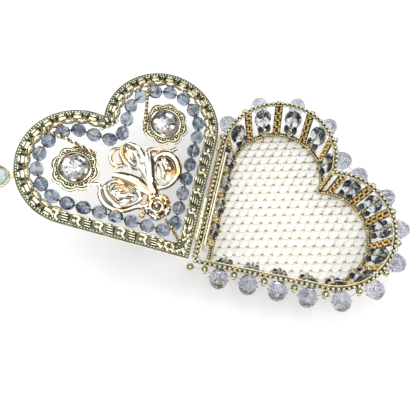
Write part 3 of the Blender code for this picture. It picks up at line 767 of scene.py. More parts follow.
@dataclass
class HeartPlan:
    """The heart outline on the centre of the rim wire: two round lobes and two straight sides."""

    length: float = 70.0 * MM
    radius: float = 24.7 * MM
    offset: float = 20.0 * MM
    lobe_along: float = field(init=False)
    half_angle: float = field(init=False)
    straight: float = field(init=False)
    arc_end: float = field(init=False)
    half_length: float = field(init=False)
    centre: Vector = field(init=False)

    def __post_init__(self) -> None:
        """Works out the sizes that follow from the first three."""
        self.lobe_along = self.length - math.sqrt(self.radius**2 - self.offset**2)
        reach = math.hypot(self.offset, self.lobe_along)
        self.half_angle = math.atan2(self.offset, self.lobe_along) + math.asin(self.radius / reach)
        self.straight = math.sqrt(reach**2 - self.radius**2)
        self.arc_end = math.pi - math.atan2(self.length - self.lobe_along, self.offset)
        self.half_length = self.straight + self.radius * (self.arc_end + self.half_angle)
        along = (self.lobe_along + self.radius) / (1.0 + math.sin(self.half_angle))
        self.centre = Vector((0.0, along, 0.0))

    def outward(self, side: Side, distance: float) -> Vector:
        """The direction square to the outline at this distance from the tip."""
        angle = max(0.0, distance - self.straight) / self.radius - self.half_angle
        return Vector((side.value * math.cos(angle), math.sin(angle), 0.0))

    def point(self, side: Side, distance: float, out: float = 0.0, high: float = 0.0) -> Vector:
        """A place beside the outline.

        Args:
            side: the side of the heart.
            distance: its distance from the tip along that side.
            out: how far outside the outline it is.
            high: its height over the plan.

        Returns:
            The place.
        """
        outward = self.outward(side, distance)
        if distance <= self.straight:
            sine, cosine = math.sin(self.half_angle), math.cos(self.half_angle)
            base = Vector((side.value * sine, cosine, 0.0)) * distance
        else:
            base = Vector((side.value * self.offset, self.lobe_along, 0.0)) + outward * self.radius
        return base + outward * out + UP * high

    def half(self, out: float = 0.0, step: float = 1.2 * MM) -> list[Vector]:
        """The free half of an outline this far outside the plan's own, from the tip to the notch."""
        points = [Vector((0.0, -out / math.sin(self.half_angle), 0.0))]
        start = max(0.0, -out / math.tan(self.half_angle))
        count = max(2, round((self.straight - start) / step))
        for i in range(1, count + 1):
            points.append(self.point(Side.FREE, start + (self.straight - start) * i / count, out))
        radius = self.radius + out
        end = math.acos(-self.offset / radius) if out > 0.0 else self.arc_end
        lobe = Vector((self.offset, self.lobe_along, 0.0))
        count = round(radius * (end + self.half_angle) / step)
        for i in range(1, count + 1):
            angle = (end + self.half_angle) * i / count - self.half_angle
            points.append(lobe + Vector((math.cos(angle), math.sin(angle), 0.0)) * radius)
        if out < 0.0:
            notch = Vector((0.0, self.length, 0.0))
            first, last = self.arc_end + math.pi, 1.5 * math.pi
            count = max(2, round(-out * (first - last) / step))
            for i in range(1, count + 1):
                angle = first + (last - first) * i / count
                points.append(notch - Vector((math.cos(angle), math.sin(angle), 0.0)) * out)
        return points

    def outline(self, out: float = 0.0, high: float = 0.0, step: float = 1.2 * MM) -> list[Vector]:
        """The whole outline once round, from the tip up the free side.

        Args:
            out: how far outside the plan's own outline it is.
            high: its height over the plan.
            step: the spacing of its points.

        Returns:
            Its points.
        """
        free = self.half(out, step)
        hinge = [Vector((-point.x, point.y, 0.0)) for point in reversed(free[1:-1])]
        return [point + UP * high for point in free + hinge]


@dataclass
class Layout:
    """Where the basket and the lid lie in the part's frame."""

    plan: HeartPlan = field(default_factory=HeartPlan)
    hinge_across: float = -1.061 * MM
    tip_along: float = -39.1532 * MM
    rim_height: float = 23.8 * MM
    axis_height: float = 25.4733 * MM
    stand_off: float = 1.65 * MM
    lid_over_axis: float = 0.4767 * MM
    open_angle: float = math.radians(165.3)
    basket_depth: float = 22.8 * MM
    basket_flare: float = 4.2 * MM

    def basket(self) -> Matrix:
        """The basket's plan in the part's frame."""
        place = Vector((self.hinge_across + self.stand_off, self.tip_along, self.rim_height))
        return Matrix.Translation(place) @ Matrix.Rotation(-self.plan.half_angle, 4, "Z")

    def lid(self) -> Matrix:
        """The open lid's plan in the part's frame, with the inner face as its +Z."""
        hinge = Vector((self.hinge_across, self.tip_along, self.axis_height))
        over = Vector((self.stand_off, 0.0, self.lid_over_axis))
        return (
            Matrix.Translation(hinge)
            @ Matrix.Rotation(-self.open_angle, 4, "Y")
            @ Matrix.Translation(over)
            @ Matrix.Rotation(-self.plan.half_angle, 4, "Z")
            @ sized(1.0, 1.0, -1.0)
        )

    def floor_scale(self) -> float:
        """The floor's size as a share of the rim's."""
        return 1.0 - self.basket_flare / (self.plan.offset + self.plan.radius)

    def lowered(self, point: Vector, depth: float) -> Vector:
        """The place on the leaning wall this far below a point of the rim."""
        floor = self.plan.centre + (point - self.plan.centre) * self.floor_scale()
        return point.lerp(floor, depth / self.basket_depth) - UP * depth

    def wall(self, side: Side, distance: float, depth: float) -> Vector:
        """The place on the leaning wall, this far below the rim wire's centre."""
        return self.lowered(self.plan.point(side, distance), depth)


@dataclass
class Piece:
    """One piece in the making, in the coordinates of its plan."""

    name: str
    body: Body
    slot: Slot
    finishes: tuple[Material, ...]
    matrix: Matrix
    shape: BMesh = field(default_factory=bmesh.new)

    def done(self, *replaced: str, sharp: float = math.radians(38.0)) -> Object:
        """Moves the piece to its place and makes it an object that rides on its body.

        Args:
            replaced: the CAD nodes that it stands for.
            sharp: the angle past which an edge between smooth faces stays sharp.

        Returns:
            The object.
        """
        bmesh.ops.transform(self.shape, matrix=self.matrix, verts=self.shape.verts)
        bmesh.ops.recalc_face_normals(self.shape, faces=self.shape.faces)
        mesh = bpy.data.meshes.new(self.name)
        self.shape.to_mesh(mesh)
        self.shape.free()
        mesh.set_sharp_from_angle(angle=sharp)
        for finish in self.finishes:
            mesh.materials.append(finish)
        return self.hand_over(mesh, replaced)

    def hand_over(self, mesh: Mesh, replaced: Sequence[str]) -> Object:
        """Links the mesh as the finished piece, for these CAD nodes."""
        made = bpy.data.objects.new(self.name, mesh)
        bpy.context.scene.collection.objects.link(made)
        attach(made, self.body.value)
        if replaced:
            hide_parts(*replaced)
        LOG.info("%s: %d faces on %s", self.name, len(mesh.polygons), self.body.value)
        return made


@dataclass
class PostPlaces:
    """Where the posts stand, as distances from the tip, and the bays between them."""

    free_first: float = 4.0 * MM
    free_pitch: float = 12.6 * MM
    free_count: int = 11
    hinge_first: float = 10.6 * MM
    hinge_pitch: float = 11.9 * MM
    hinge_count: int = 5
    lobe_pitch: float = 15.06 * MM
    lobe_count: int = 5

    def free(self) -> list[tuple[Side, float]]:
        """The posts up the free side."""
        return [(Side.FREE, self.free_first + self.free_pitch * i) for i in range(self.free_count)]

    def hinge(self) -> list[tuple[Side, float]]:
        """The posts along the hinge."""
        return [(Side.HINGE, self.hinge_first + self.hinge_pitch * i) for i in range(self.hinge_count)]

    def lobe(self) -> list[tuple[Side, float]]:
        """The posts round the hinge side's lobe."""
        start = self.hinge()[-1][1]
        return [(Side.HINGE, start + self.lobe_pitch * (i + 1)) for i in range(self.lobe_count)]

    @staticmethod
    def bays(posts: Sequence[tuple[Side, float]]) -> list[tuple[Side, float]]:
        """The middle of each bay between posts that follow each other."""
        return [(one[0], (one[1] + other[1]) / 2.0) for one, other in zip(posts, posts[1:])]


@dataclass
class RimRope:
    """The basket's rim: a chain of small balls on a dark cord, which is painted shade in the gaps between the
    balls, with a plain wire inside it.
    """

    layout: Layout
    palette: Palette
    bead_radius: float = 1.0 * MM
    bead_pitch: float = 2.1 * MM
    bead_out: float = 0.3 * MM
    cord_radius: float = 0.5 * MM
    inner_radius: float = 0.26 * MM
    inner_out: float = -0.95 * MM
    inner_high: float = 0.25 * MM
    notch_ball_radius: float = 1.1 * MM

    def build(self) -> list[Object]:
        """Makes the chain and the plain wire."""
        plan = self.layout.plan
        chain = Piece(
            "rim_bead_chain", Body.BASE, Slot.PALE_GOLD,
            (self.palette.pale_gold, self.palette.dark_brass), self.layout.basket(),
        )
        path = plan.outline(self.bead_out)
        # the dark cord is painted shade between the balls
        wires(chain.shape, [path], self.cord_radius, 1, closed=True)
        bead = bead_stamp(8, 5)
        for place, along in paced(path, self.bead_pitch):
            bead.press(chain.shape, pose(place, along) @ Matrix.Scale(self.bead_radius, 4))
        wire = Piece(
            "rim_inner_wire", Body.BASE, Slot.PALE_GOLD, (self.palette.pale_gold,), self.layout.basket()
        )
        wires(wire.shape, [plan.outline(self.inner_out, self.inner_high)], self.inner_radius, closed=True)
        notch = Vector((0.0, plan.length, 0.0))
        ball(wire.shape, Matrix.Translation(notch - UP * 0.2 * MM), self.notch_ball_radius, turns=12, rings=8)
        return [chain.done("base_rim_wire"), wire.done()]


@dataclass
class BasketFloor:
    """The floor: a diamond mesh of fine wire, bound by beaded wires along the floor rim."""

    layout: Layout
    palette: Palette
    cell: float = 4.4 * MM
    row_pitch: float = 3.8 * MM
    row_turn: float = math.radians(57.6)
    reach: int = 14
    wire_radius: float = 0.27 * MM
    weave: float = 0.2 * MM
    sway: float = 0.1
    knot_radius: float = 0.55 * MM
    rim_inset: float = 1.3 * MM
    bead_radius: float = 0.5 * MM
    bead_pitch: float = 1.15 * MM
    bead_rows: tuple[tuple[float, float], ...] = ((-0.75 * MM, 1.35 * MM), (0.55 * MM, 1.3 * MM))

    def edge(self, out: float, high: float) -> list[Vector]:
        """An outline of the floor, offset from the middle of the floor rim, over its own middle."""
        scale = self.layout.floor_scale()
        centre = self.layout.plan.centre
        down = UP * (high - self.layout.basket_depth)
        return [centre + (point - centre) * scale + down for point in self.layout.plan.outline(out)]

    @staticmethod
    def inside(point: Vector, edge: Sequence[Vector]) -> bool:
        """Whether the point is within the closed edge, seen from above."""
        crossings = 0
        for one, other in zip(edge, [*edge[1:], edge[0]]):
            if (one.y > point.y) != (other.y > point.y):
                share = (point.y - one.y) / (other.y - one.y)
                crossings += one.x + (other.x - one.x) * share > point.x
        return crossings % 2 == 1

    def on_floor(self, column: float, row: float, high: float = 0.0) -> Vector:
        """A place of the mesh, by column and row from the floor's middle."""
        turned = Matrix.Rotation(self.row_turn, 4, "Z") @ Vector((column * self.cell, row * self.row_pitch, 0.0))
        return self.layout.plan.centre + turned + UP * (high - self.layout.basket_depth)

    def along_row(self, row: int, quarter: int) -> Vector:
        """A place on a wire that runs along a row, waving a little from knot to knot."""
        column = quarter / 4.0 + row % 2 / 2.0
        wave = math.cos(math.tau * quarter / 4.0)
        return self.on_floor(column, row + self.sway * wave, -self.weave)

    def across_rows(self, column: int, quarter: int) -> Vector:
        """A place on a wire that slants across the rows, from knot to knot."""
        row = quarter / 4.0
        return self.on_floor(column + row / 2.0, row, self.weave * math.cos(math.tau * row))

    @staticmethod
    def runs(path: Sequence[Vector], edge: Sequence[Vector]) -> list[list[Vector]]:
        """The runs of a path that lie within the edge."""
        found: list[list[Vector]] = [[]]
        for point in path:
            if BasketFloor.inside(point, edge):
                found[-1].append(point)
            elif found[-1]:
                found.append([])
        return [run for run in found if len(run) > 1]

    def build(self) -> list[Object]:
        """Makes the mesh and the beaded wires."""
        palette = self.palette
        mesh = Piece(
            "floor_wire_mesh", Body.BASE, Slot.PALE_GOLD, (palette.mesh_wire, palette.knot_gold),
            self.layout.basket(),
        )
        edge = self.edge(-self.rim_inset, 0.0)
        columns = range(-self.reach * 2, self.reach * 2 + 1)
        rows = range(-self.reach, self.reach + 1)
        quarters = range(-self.reach * 4, self.reach * 4 + 1)
        paths = [[self.along_row(row, quarter) for quarter in quarters] for row in rows]
        paths += [[self.across_rows(column, quarter) for quarter in quarters] for column in columns]
        wires(mesh.shape, [run for path in paths for run in self.runs(path, edge)], self.wire_radius, sides=6)
        knot = bead_stamp(6, 4)
        turn = Matrix.Rotation(self.row_turn, 4, "Z")
        stretch = turn @ sized(1.45, 1.0, 0.9) @ Matrix.Scale(self.knot_radius, 4)
        for row in rows:
            for column in columns:
                place = self.on_floor(column + row % 2 / 2.0, row)
                if self.inside(place, edge):
                    knot.press(mesh.shape, Matrix.Translation(place) @ stretch, 1)
        beads = Piece(
            "floor_beaded_wires", Body.BASE, Slot.PALE_GOLD, (palette.cream_gold, palette.rope_gold),
            self.layout.basket(),
        )
        bead = bead_stamp(6, 4)
        for out, high in self.bead_rows:
            path = self.edge(out, high)
            wires(beads.shape, [path], self.bead_radius * 0.6, 1, closed=True)
            for place, along in paced(path, self.bead_pitch):
                bead.press(beads.shape, pose(place, along) @ Matrix.Scale(self.bead_radius, 4))
        return [mesh.done("base_floor_mesh"), beads.done()]


@dataclass
class EmbossedPosts:
    """The strips between the two rims: gold ribs and rows of beads across a dark plate, which is painted shade in
    the gaps between the beads.
    """

    layout: Layout
    palette: Palette
    places: PostPlaces
    width: float = 3.7 * MM
    plate: float = 0.5 * MM
    row_pitch: float = 1.7 * MM
    bump_radius: float = 0.82 * MM
    bump_across: float = 0.95 * MM
    stagger: float = 0.16 * MM
    edge_radius: float = 0.2 * MM
    top: float = 1.4 * MM
    bottom: float = 21.5 * MM

    def build(self) -> list[Object]:
        """Makes every post."""
        posts = self.places.free() + self.places.hinge() + self.places.lobe()
        return [self.post(number, *place) for number, place in enumerate(posts, start=1)]

    def post(self, number: int, side: Side, distance: float) -> Object:
        """Makes one post.

        Args:
            number: its number, as the CAD nodes count them.
            side: its side of the heart.
            distance: its distance from the tip.

        Returns:
            The post.
        """
        palette = self.palette
        piece = Piece(
            f"embossed_post_{number:02d}", Body.BASE, Slot.POST_GOLD,
            (palette.yellow_gold, palette.dark_brass), self.layout.basket(),
        )
        high = self.layout.wall(side, distance, self.top)
        low = self.layout.wall(side, distance, self.bottom)
        outward = self.layout.plan.outward(side, distance)
        span = high - low
        frame = pose(low, span, outward)
        length = span.length
        middle = frame @ Matrix.Translation(Vector((length / 2.0, 0.0, 0.0)))
        # the dark plate is painted shade behind the ribs and beads
        block(piece.shape, middle, Vector((length, self.width, self.plate)), 0.1 * MM, 1)
        for edge in (-1.0, 1.0):
            across = edge * (self.width / 2.0 - self.edge_radius)
            ends = [frame @ Vector((share * length, across, 0.0)) for share in (0.0, 1.0)]
            wires(piece.shape, [ends], self.edge_radius)
        count = round(length / self.row_pitch)
        bump = bead_stamp(8, 5)
        for i in range(count):
            along = (i + 0.5) * length / count
            if (i + number) % 3 == 0:
                stretch = sized(0.6, 1.9, 1.2) @ Matrix.Scale(self.bump_radius, 4)
                bump.press(piece.shape, frame @ Matrix.Translation(Vector((along, 0.0, 0.0))) @ stretch)
                continue
            for column in (-1.0, 1.0):
                place = Vector((along + column * self.stagger, column * self.bump_across, 0.0))
                stretch = sized(0.85, 1.0, 1.3) @ Matrix.Scale(self.bump_radius, 4)
                bump.press(piece.shape, frame @ Matrix.Translation(place) @ stretch)
        return piece.done(f"wall_post_{number:02d}")


@dataclass
class BayBeads:
    """The wire in each bay, with a clear crystal over a smoky one and small balls at its foot."""

    layout: Layout
    palette: Palette
    places: PostPlaces
    wire_radius: float = 0.34 * MM
    upper_radius: float = 3.3 * MM
    upper_depth: float = 9.2 * MM
    upper_in: float = 0.4 * MM
    taper: float = 0.1
    tilt: float = 0.22 * MM
    lower_radius: float = 2.0 * MM
    lower_depth: float = 13.4 * MM
    lower_in: float = 2.3 * MM
    foot_radius: float = 0.75 * MM
    foot_depth: float = 19.2 * MM
    cord_radius: float = 0.32 * MM
    cord_reach: float = 0.3 * MM
    top: float = 1.4 * MM
    bottom: float = 21.5 * MM

    def bays(self) -> list[tuple[Side, float]]:
        """Every bay with a wire, as the CAD nodes count them."""
        posts = self.places
        lobe = posts.bays(posts.hinge()[-1:] + posts.lobe())
        return posts.bays(posts.free()) + posts.bays(posts.hinge()) + lobe

    def build(self) -> list[Object]:
        """Makes the wire and beads of every bay."""
        return [self.bay(number, *place) for number, place in enumerate(self.bays(), start=1)]

    def bay(self, number: int, side: Side, distance: float) -> Object:
        """Makes one bay's wire with its beads.

        Args:
            number: its number, as the CAD nodes count them.
            side: its side of the heart.
            distance: its distance from the tip.

        Returns:
            The piece.
        """
        palette = self.palette
        piece = Piece(
            f"bay_beads_{number:02d}", Body.BASE, Slot.INNER_BEADS,
            (palette.bright_crystal, palette.smoke_crystal, palette.cream_gold, palette.pale_gold),
            self.layout.basket(),
        )
        above, below = bmesh.new(), bmesh.new()
        outward = self.layout.plan.outward(side, distance)
        high = self.layout.wall(side, distance, self.top)
        low = self.layout.wall(side, distance, self.bottom)
        lean = (high - low).normalized()
        upper = self.layout.wall(side, distance, self.upper_depth) - outward * self.upper_in
        lower = self.layout.wall(side, distance, self.lower_depth) - outward * self.lower_in
        wires(piece.shape, [flowing([high, upper, lower, low])], self.wire_radius, 3)
        # the upper crystal is the clear crystal painted bright, and its facets carry painted glints and painted
        # shade
        ball(above, pose(upper, lean, outward) @ sized(1.9, 1.22, 0.8), self.upper_radius, 0, 12, 12,
             smooth=False)
        for vert in above.verts:
            # narrower towards the foot
            share = (vert.co - upper).dot(lean) / self.upper_radius
            middle = upper + lean * (vert.co - upper).dot(lean)
            vert.co = middle + (vert.co - middle) * (1.0 + self.taper * share)
        tilt_facets(above, number, self.tilt)
        paint_facet_light(above, number, BRIGHT_PAINTED_FACETS)
        absorb(piece.shape, above)
        for turn in (-1.0, 1.0):
            across = outward.cross(UP) * turn * self.lower_radius * 0.95
            ball(below, pose(lower + across, lean, outward) @ sized(1.5, 0.72, 0.8), self.lower_radius, 1,
                 7, 6, smooth=False)
        # painted glints and painted shade on the smoky crystals' facets
        paint_facet_light(below, number + 40, DARK_PAINTED_FACETS)
        absorb(piece.shape, below)
        front = -outward * self.lower_radius * 0.9
        cord = [upper + front * 0.9, lower + lean * 2.0 * MM + front, lower - lean * 2.2 * MM + front, low]
        for phase in (0.0, math.pi):
            strand = twisted(flowing(cord), self.cord_reach, 4.0, phase, 36)
            wires(piece.shape, [strand], self.cord_radius, 2, sides=4)
        for step in (-1.0, 0.0, 1.0):
            across = outward.cross(UP) * step * self.foot_radius * 2.0
            foot = self.layout.wall(side, distance, self.foot_depth + abs(step) * 0.7 * MM) + across
            ball(piece.shape, Matrix.Translation(foot), self.foot_radius, 3)
        return piece.done(f"bay_wire_{number:02d}")


@dataclass
class CrystalGarland:
    """The outer string: big cut crystals with metal balls between them."""

    layout: Layout
    palette: Palette
    places: PostPlaces
    crystal_radius: float = 4.0 * MM
    crystal_out: float = 4.6 * MM
    crystal_drop: float = 7.7 * MM
    crystal_draw: float = 1.1
    tilt: float = 0.09 * MM
    ball_radius: float = 1.55 * MM
    ball_out: float = 2.3 * MM
    ball_drop: float = 3.4 * MM
    small_radius: float = 0.95 * MM
    small_out: float = 3.4 * MM
    small_drop: float = 5.6 * MM
    cap_radius: float = 0.5 * MM
    string_radius: float = 0.14 * MM
    tip_out: float = 3.4 * MM
    tip_drop: float = 5.0 * MM
    tip_radius: float = 1.8 * MM

    def crystals(self) -> list[tuple[Side, float]]:
        """The bays that have a crystal before them."""
        posts = self.places
        return posts.bays(posts.free()) + posts.bays(posts.hinge()[-1:] + posts.lobe())

    def balls(self) -> list[tuple[Side, float]]:
        """The posts that have a ball before them."""
        posts = self.places
        return posts.free()[:-1] + posts.hinge()[-1:] + posts.lobe()[:-1]

    def build(self) -> list[Object]:
        """Makes the crystals, and the balls on their string."""
        plan = self.layout.plan
        palette = self.palette
        glass = Piece(
            "garland_crystals", Body.BASE, Slot.CLEAR_CRYSTAL,
            (palette.clear_crystal,), self.layout.basket(),
        )
        metal = Piece(
            "garland_balls", Body.BASE, Slot.PALE_GOLD, (palette.pale_gold,), self.layout.basket()
        )
        stops = []
        for side, distance in self.crystals():
            outward = plan.outward(side, distance)
            centre = plan.point(side, distance, self.crystal_out, -self.crystal_drop)
            frame = pose(centre, outward.cross(UP), outward)
            # drawn out a little where it hangs
            lean = Matrix.Rotation(math.radians(-40.0), 4, "X")
            made = bmesh.ops.create_icosphere(
                glass.shape, subdivisions=4, radius=self.crystal_radius,
                matrix=frame @ lean @ sized(0.98, 1.0, self.crystal_draw),
            )
            dress(made["verts"], 0, smooth=False)
            for end in (-1.0, 1.0):
                cap = centre + outward.cross(UP) * end * (self.crystal_radius - 0.05 * MM)
                ball(metal.shape, Matrix.Translation(cap), self.cap_radius, 0)
            stops.append((side, distance, centre, self.crystal_radius))
        for side, distance in self.balls():
            centre = plan.point(side, distance, self.ball_out, -self.ball_drop)
            ball(metal.shape, Matrix.Translation(centre), self.ball_radius, turns=12, rings=8)
            below = plan.point(side, distance, self.small_out, -self.small_drop)
            ball(metal.shape, Matrix.Translation(below), self.small_radius, 0)
            stops.append((side, distance, centre, self.small_radius))
        whole = 2.0 * plan.half_length
        stops.sort(key=lambda stop: stop[1] if stop[0] is Side.HINGE else whole - stop[1])
        tip = Vector((0.0, -self.tip_out, -self.tip_drop))
        ball(metal.shape, Matrix.Translation(tip), self.tip_radius, turns=12, rings=8)
        places = [(stop[2], stop[3]) for stop in stops] + [(tip, self.small_radius)]
        spans = []
        for (one, reach), (other, other_reach) in zip(places, places[1:]):
            along = (other - one).normalized()
            spans.append([one + along * reach, other - along * other_reach])
        wires(metal.shape, spans, self.string_radius, 0)
        tilt_facets(glass.shape, 6, self.tilt)
        # painted glints and painted shade on the crystals' facets
        paint_facet_light(glass.shape, 5, CLEAR_PAINTED_FACETS)
        return [glass.done("outer_crystal_garland"), metal.done()]


@dataclass
class HingeSide:
    """The hinge, and the small beads wired along the rim beside it."""

    layout: Layout
    palette: Palette
    frame: dict
    first: float = 6.0 * MM
    last: float = 50.0 * MM
    crowded: float = 26.0 * MM
    outer_rows: tuple[tuple[float, float], ...] = ((0.7, -2.0), (1.9, -2.7))
    seed: int = 7

    def build(self) -> list[Object]:
        """Dresses the rod and barrels and makes the beads."""
        dressing = {
            "hinge_rod": self.palette.rope_gold,
            "base_hinge_barrel_lower": self.palette.pale_gold,
            "base_hinge_barrel_upper": self.palette.pale_gold,
            "lid_hinge_barrel": self.palette.pale_gold,
            "base_floor_rim": self.palette.pale_gold,
        }
        for name, finish in dressing.items():
            dress_node(self.frame, name, finish)
        palette = self.palette
        piece = Piece(
            "hinge_side_beads", Body.BASE, Slot.HINGE_GOLD,
            (palette.cream_gold, palette.rope_gold, palette.pale_gold), self.layout.basket(),
        )
        chance = Random(self.seed)
        plan = self.layout.plan
        distance = self.first
        while distance < self.last:
            crowded = distance < self.crowded
            for _ in range(3 if crowded else 1):
                radius = chance.uniform(0.45, 0.85) * MM
                out = -chance.uniform(1.6, 3.4) * MM
                high = -chance.uniform(0.4, 3.4) * MM
                place = plan.point(Side.HINGE, distance + chance.uniform(-0.6, 0.6) * MM, out, high)
                ball(piece.shape, Matrix.Translation(place), radius, chance.randrange(3))
            distance += 1.3 * MM if crowded else 2.1 * MM
        for row, (out, high) in enumerate(self.outer_rows):
            run = [plan.point(Side.HINGE, at * MM, out * MM, high * MM) for at in (2.0, 54.0)]
            for place, _ in paced(run, 1.7 * MM, closed=False):
                ball(piece.shape, Matrix.Translation(place), chance.uniform(0.6, 0.85) * MM, (row + 1) % 3)
        line = [plan.point(Side.HINGE, at * MM, -2.0 * MM, -0.2 * MM) for at in (7.0, 20.0, 36.0, 50.0)]
        wires(piece.shape, [flowing(line, 4)], 0.5 * MM, 0)
        return [piece.done()]


def dress_node(frame: dict, name: str, finish: Material) -> None:
    """Gives a CAD node that stays visible its finish.

    Args:
        name: the node.
        finish: its material.
    """
    mesh = frame["nodes"][name].data
    mesh.materials.clear()
    mesh.materials.append(finish)


@dataclass
class LidBand:
    """The heart-shaped frame of the lid: an olive ground with cream relief."""

    layout: Layout
    palette: Palette
    outer: float = 0.2 * MM
    inner: float = -5.0 * MM
    ground: float = 0.36 * MM
    edge_radius: float = 0.36 * MM
    grain_radius: float = 0.4 * MM
    grain_pitch: float = 1.25 * MM
    grain_out: float = -0.72 * MM
    boss_pitch: float = 7.0 * MM
    scallop_pitch: float = 6.4 * MM
    motif_pitch: float = 9.4 * MM

    def build(self) -> list[Object]:
        """Makes the ground, its edges and the relief on it."""
        palette = self.palette
        self.plan = self.layout.plan
        base = Piece(
            "lid_band_ground", Body.LID, Slot.PALE_GOLD, (palette.olive_ground,), self.layout.lid()
        )
        self.lay_ground(base.shape)
        edges = Piece(
            "lid_band_edges", Body.LID, Slot.PALE_GOLD, (palette.pale_gold, palette.cream_gold),
            self.layout.lid(),
        )
        wires(edges.shape, [self.plan.outline(self.outer - 0.12 * MM)], self.edge_radius, 1, closed=True)
        wires(edges.shape, [self.plan.outline(self.inner, 0.15 * MM)], self.edge_radius * 0.8, closed=True)
        bead = bead_stamp(6, 4)
        for face in (1.0, -1.0):
            row = self.plan.outline(self.grain_out, face * self.ground)
            for place, along in paced(row, self.grain_pitch):
                bead.press(edges.shape, pose(place, along) @ Matrix.Scale(self.grain_radius, 4), 1)
        relief = Piece(
            "lid_band_relief", Body.LID, Slot.PALE_GOLD,
            (palette.cream_gold, palette.yellow_gold, palette.dark_brass, palette.pale_gold),
            self.layout.lid(),
        )
        self.add_bosses(relief.shape)
        self.add_scallops(relief.shape)
        self.add_key_motifs(relief.shape)
        self.add_tip_leaves(relief.shape)
        self.add_notch_leaves(relief.shape)
        return [base.done("lid_band"), edges.done(), relief.done()]

    def lay_ground(self, shape: BMesh) -> None:
        """Adds the flat plate between the two outlines."""
        edges = []
        for out in (self.outer, self.inner):
            ring = [shape.verts.new(point - UP * self.ground) for point in self.plan.outline(out)]
            edges += [shape.edges.new((one, other)) for one, other in zip(ring, [*ring[1:], ring[0]])]
        filled = bmesh.ops.triangle_fill(shape, edges=edges, use_beauty=True, use_dissolve=False)
        faces = [item for item in filled["geom"] if isinstance(item, BMFace)]
        top = bmesh.ops.extrude_face_region(shape, geom=faces, use_keep_orig=True)
        lifted = [item for item in top["geom"] if isinstance(item, BMVert)]
        bmesh.ops.translate(shape, vec=UP * self.ground * 2.0, verts=lifted)

    def at(self, side: Side, distance: float, out: float, high: float) -> Matrix:
        """The frame at a place of the band, with X along it and Y outward."""
        outward = self.plan.outward(side, distance)
        place = self.plan.point(side, distance, out, high)
        made = pose(place, outward.cross(UP) * -side.value)
        return made

    def lobe_range(self, side: Side, first: float, last: float, pitch: float) -> list[float]:
        """Even distances from first to last."""
        count = max(1, round((last - first) / pitch))
        return [first + (last - first) * i / count for i in range(count + 1)]

    def add_bosses(self, shape: BMesh) -> None:
        """Adds the stacked square bosses round both lobes, with a dark block of painted shade on either side,
        standing in for a shaded recess.
        """
        start = self.plan.straight + 6.0 * MM
        for side in Side:
            for distance in self.lobe_range(side, start, self.plan.half_length - 4.5 * MM, self.boss_pitch):
                size = Vector((3.3, 1.6, 0.8)) * MM
                block(shape, self.at(side, distance, -3.1 * MM, 0.5 * MM), size, 0.26 * MM)
                size = Vector((2.5, 1.1, 0.7)) * MM
                block(shape, self.at(side, distance, -1.6 * MM, 0.45 * MM), size, 0.22 * MM)
                for step in (-1.0, 1.0):
                    place = self.at(side, distance + step * 2.45 * MM, -2.3 * MM, 0.3 * MM)
                    # a dark block of painted shade, where a recess falls into shade
                    block(shape, place, Vector((0.9, 2.0, 0.4)) * MM, 0.1 * MM, 2)
                    place = self.at(side, distance + step * 3.0 * MM, -1.5 * MM, 0.36 * MM)
                    ball(shape, place @ sized(1.0, 1.0, 0.7), 0.46 * MM, 0, 6, 4)

    def add_scallops(self, shape: BMesh) -> None:
        """Adds the leaf lobes along the inner edge."""
        start = self.plan.straight + 2.6 * MM
        for side in Side:
            for distance in self.lobe_range(side, start, self.plan.half_length - 3.0 * MM, self.scallop_pitch):
                place = self.at(side, distance, -4.55 * MM, 0.3 * MM)
                ball(shape, place @ sized(2.2, 0.9, 0.75), 1.0 * MM, 0, 10, 6)
                rim = [place @ Vector((2.75 * math.cos(a) * MM, 1.3 * math.sin(a) * MM, 0.1 * MM))
                       for a in (math.tau * i / 14 for i in range(14))]
                wires(shape, [rim], 0.3 * MM, 3, sides=4, closed=True)

    def add_key_motifs(self, shape: BMesh) -> None:
        """Adds three short bars and a curved leaf, again and again, along the straight sides."""
        for side in Side:
            first, last = 15.0 * MM, self.plan.straight - 2.0 * MM
            for distance in self.lobe_range(side, first, last, self.motif_pitch):
                # a dark plate of painted shade under the bars
                ground = self.at(side, distance, -2.7 * MM, 0.34 * MM)
                block(shape, ground, Vector((3.2, 3.1, 0.34)) * MM, 0.1 * MM, 2)
                for row in range(3):
                    place = self.at(side, distance + row * 0.25 * MM, (-1.7 - 1.0 * row) * MM, 0.5 * MM)
                    block(shape, place, Vector((2.7, 0.6, 0.6)) * MM, 0.15 * MM)
                leaf = [(2.4, -1.1), (3.6, -1.5), (4.1, -2.6), (3.7, -3.7), (5.0, -4.4), (6.6, -4.2)]
                path = [self.plan.point(side, distance + a * MM, out * MM, 0.5 * MM) for a, out in leaf]
                wires(shape, [flowing(path, 4)], 0.85 * MM, 0,
                      taper=[0.45 + 0.55 * math.sin(math.pi * i / 20.0) for i in range(21)])
                place = self.at(side, distance + 5.6 * MM, -2.4 * MM, 0.4 * MM)
                ball(shape, place @ sized(1.2, 0.9, 0.6), 1.0 * MM, 0, 8, 6)
                place = self.at(side, distance + 1.0 * MM, -4.7 * MM, 0.3 * MM)
                ball(shape, place @ sized(1.7, 0.7, 0.7), 1.0 * MM, 0, 8, 6)

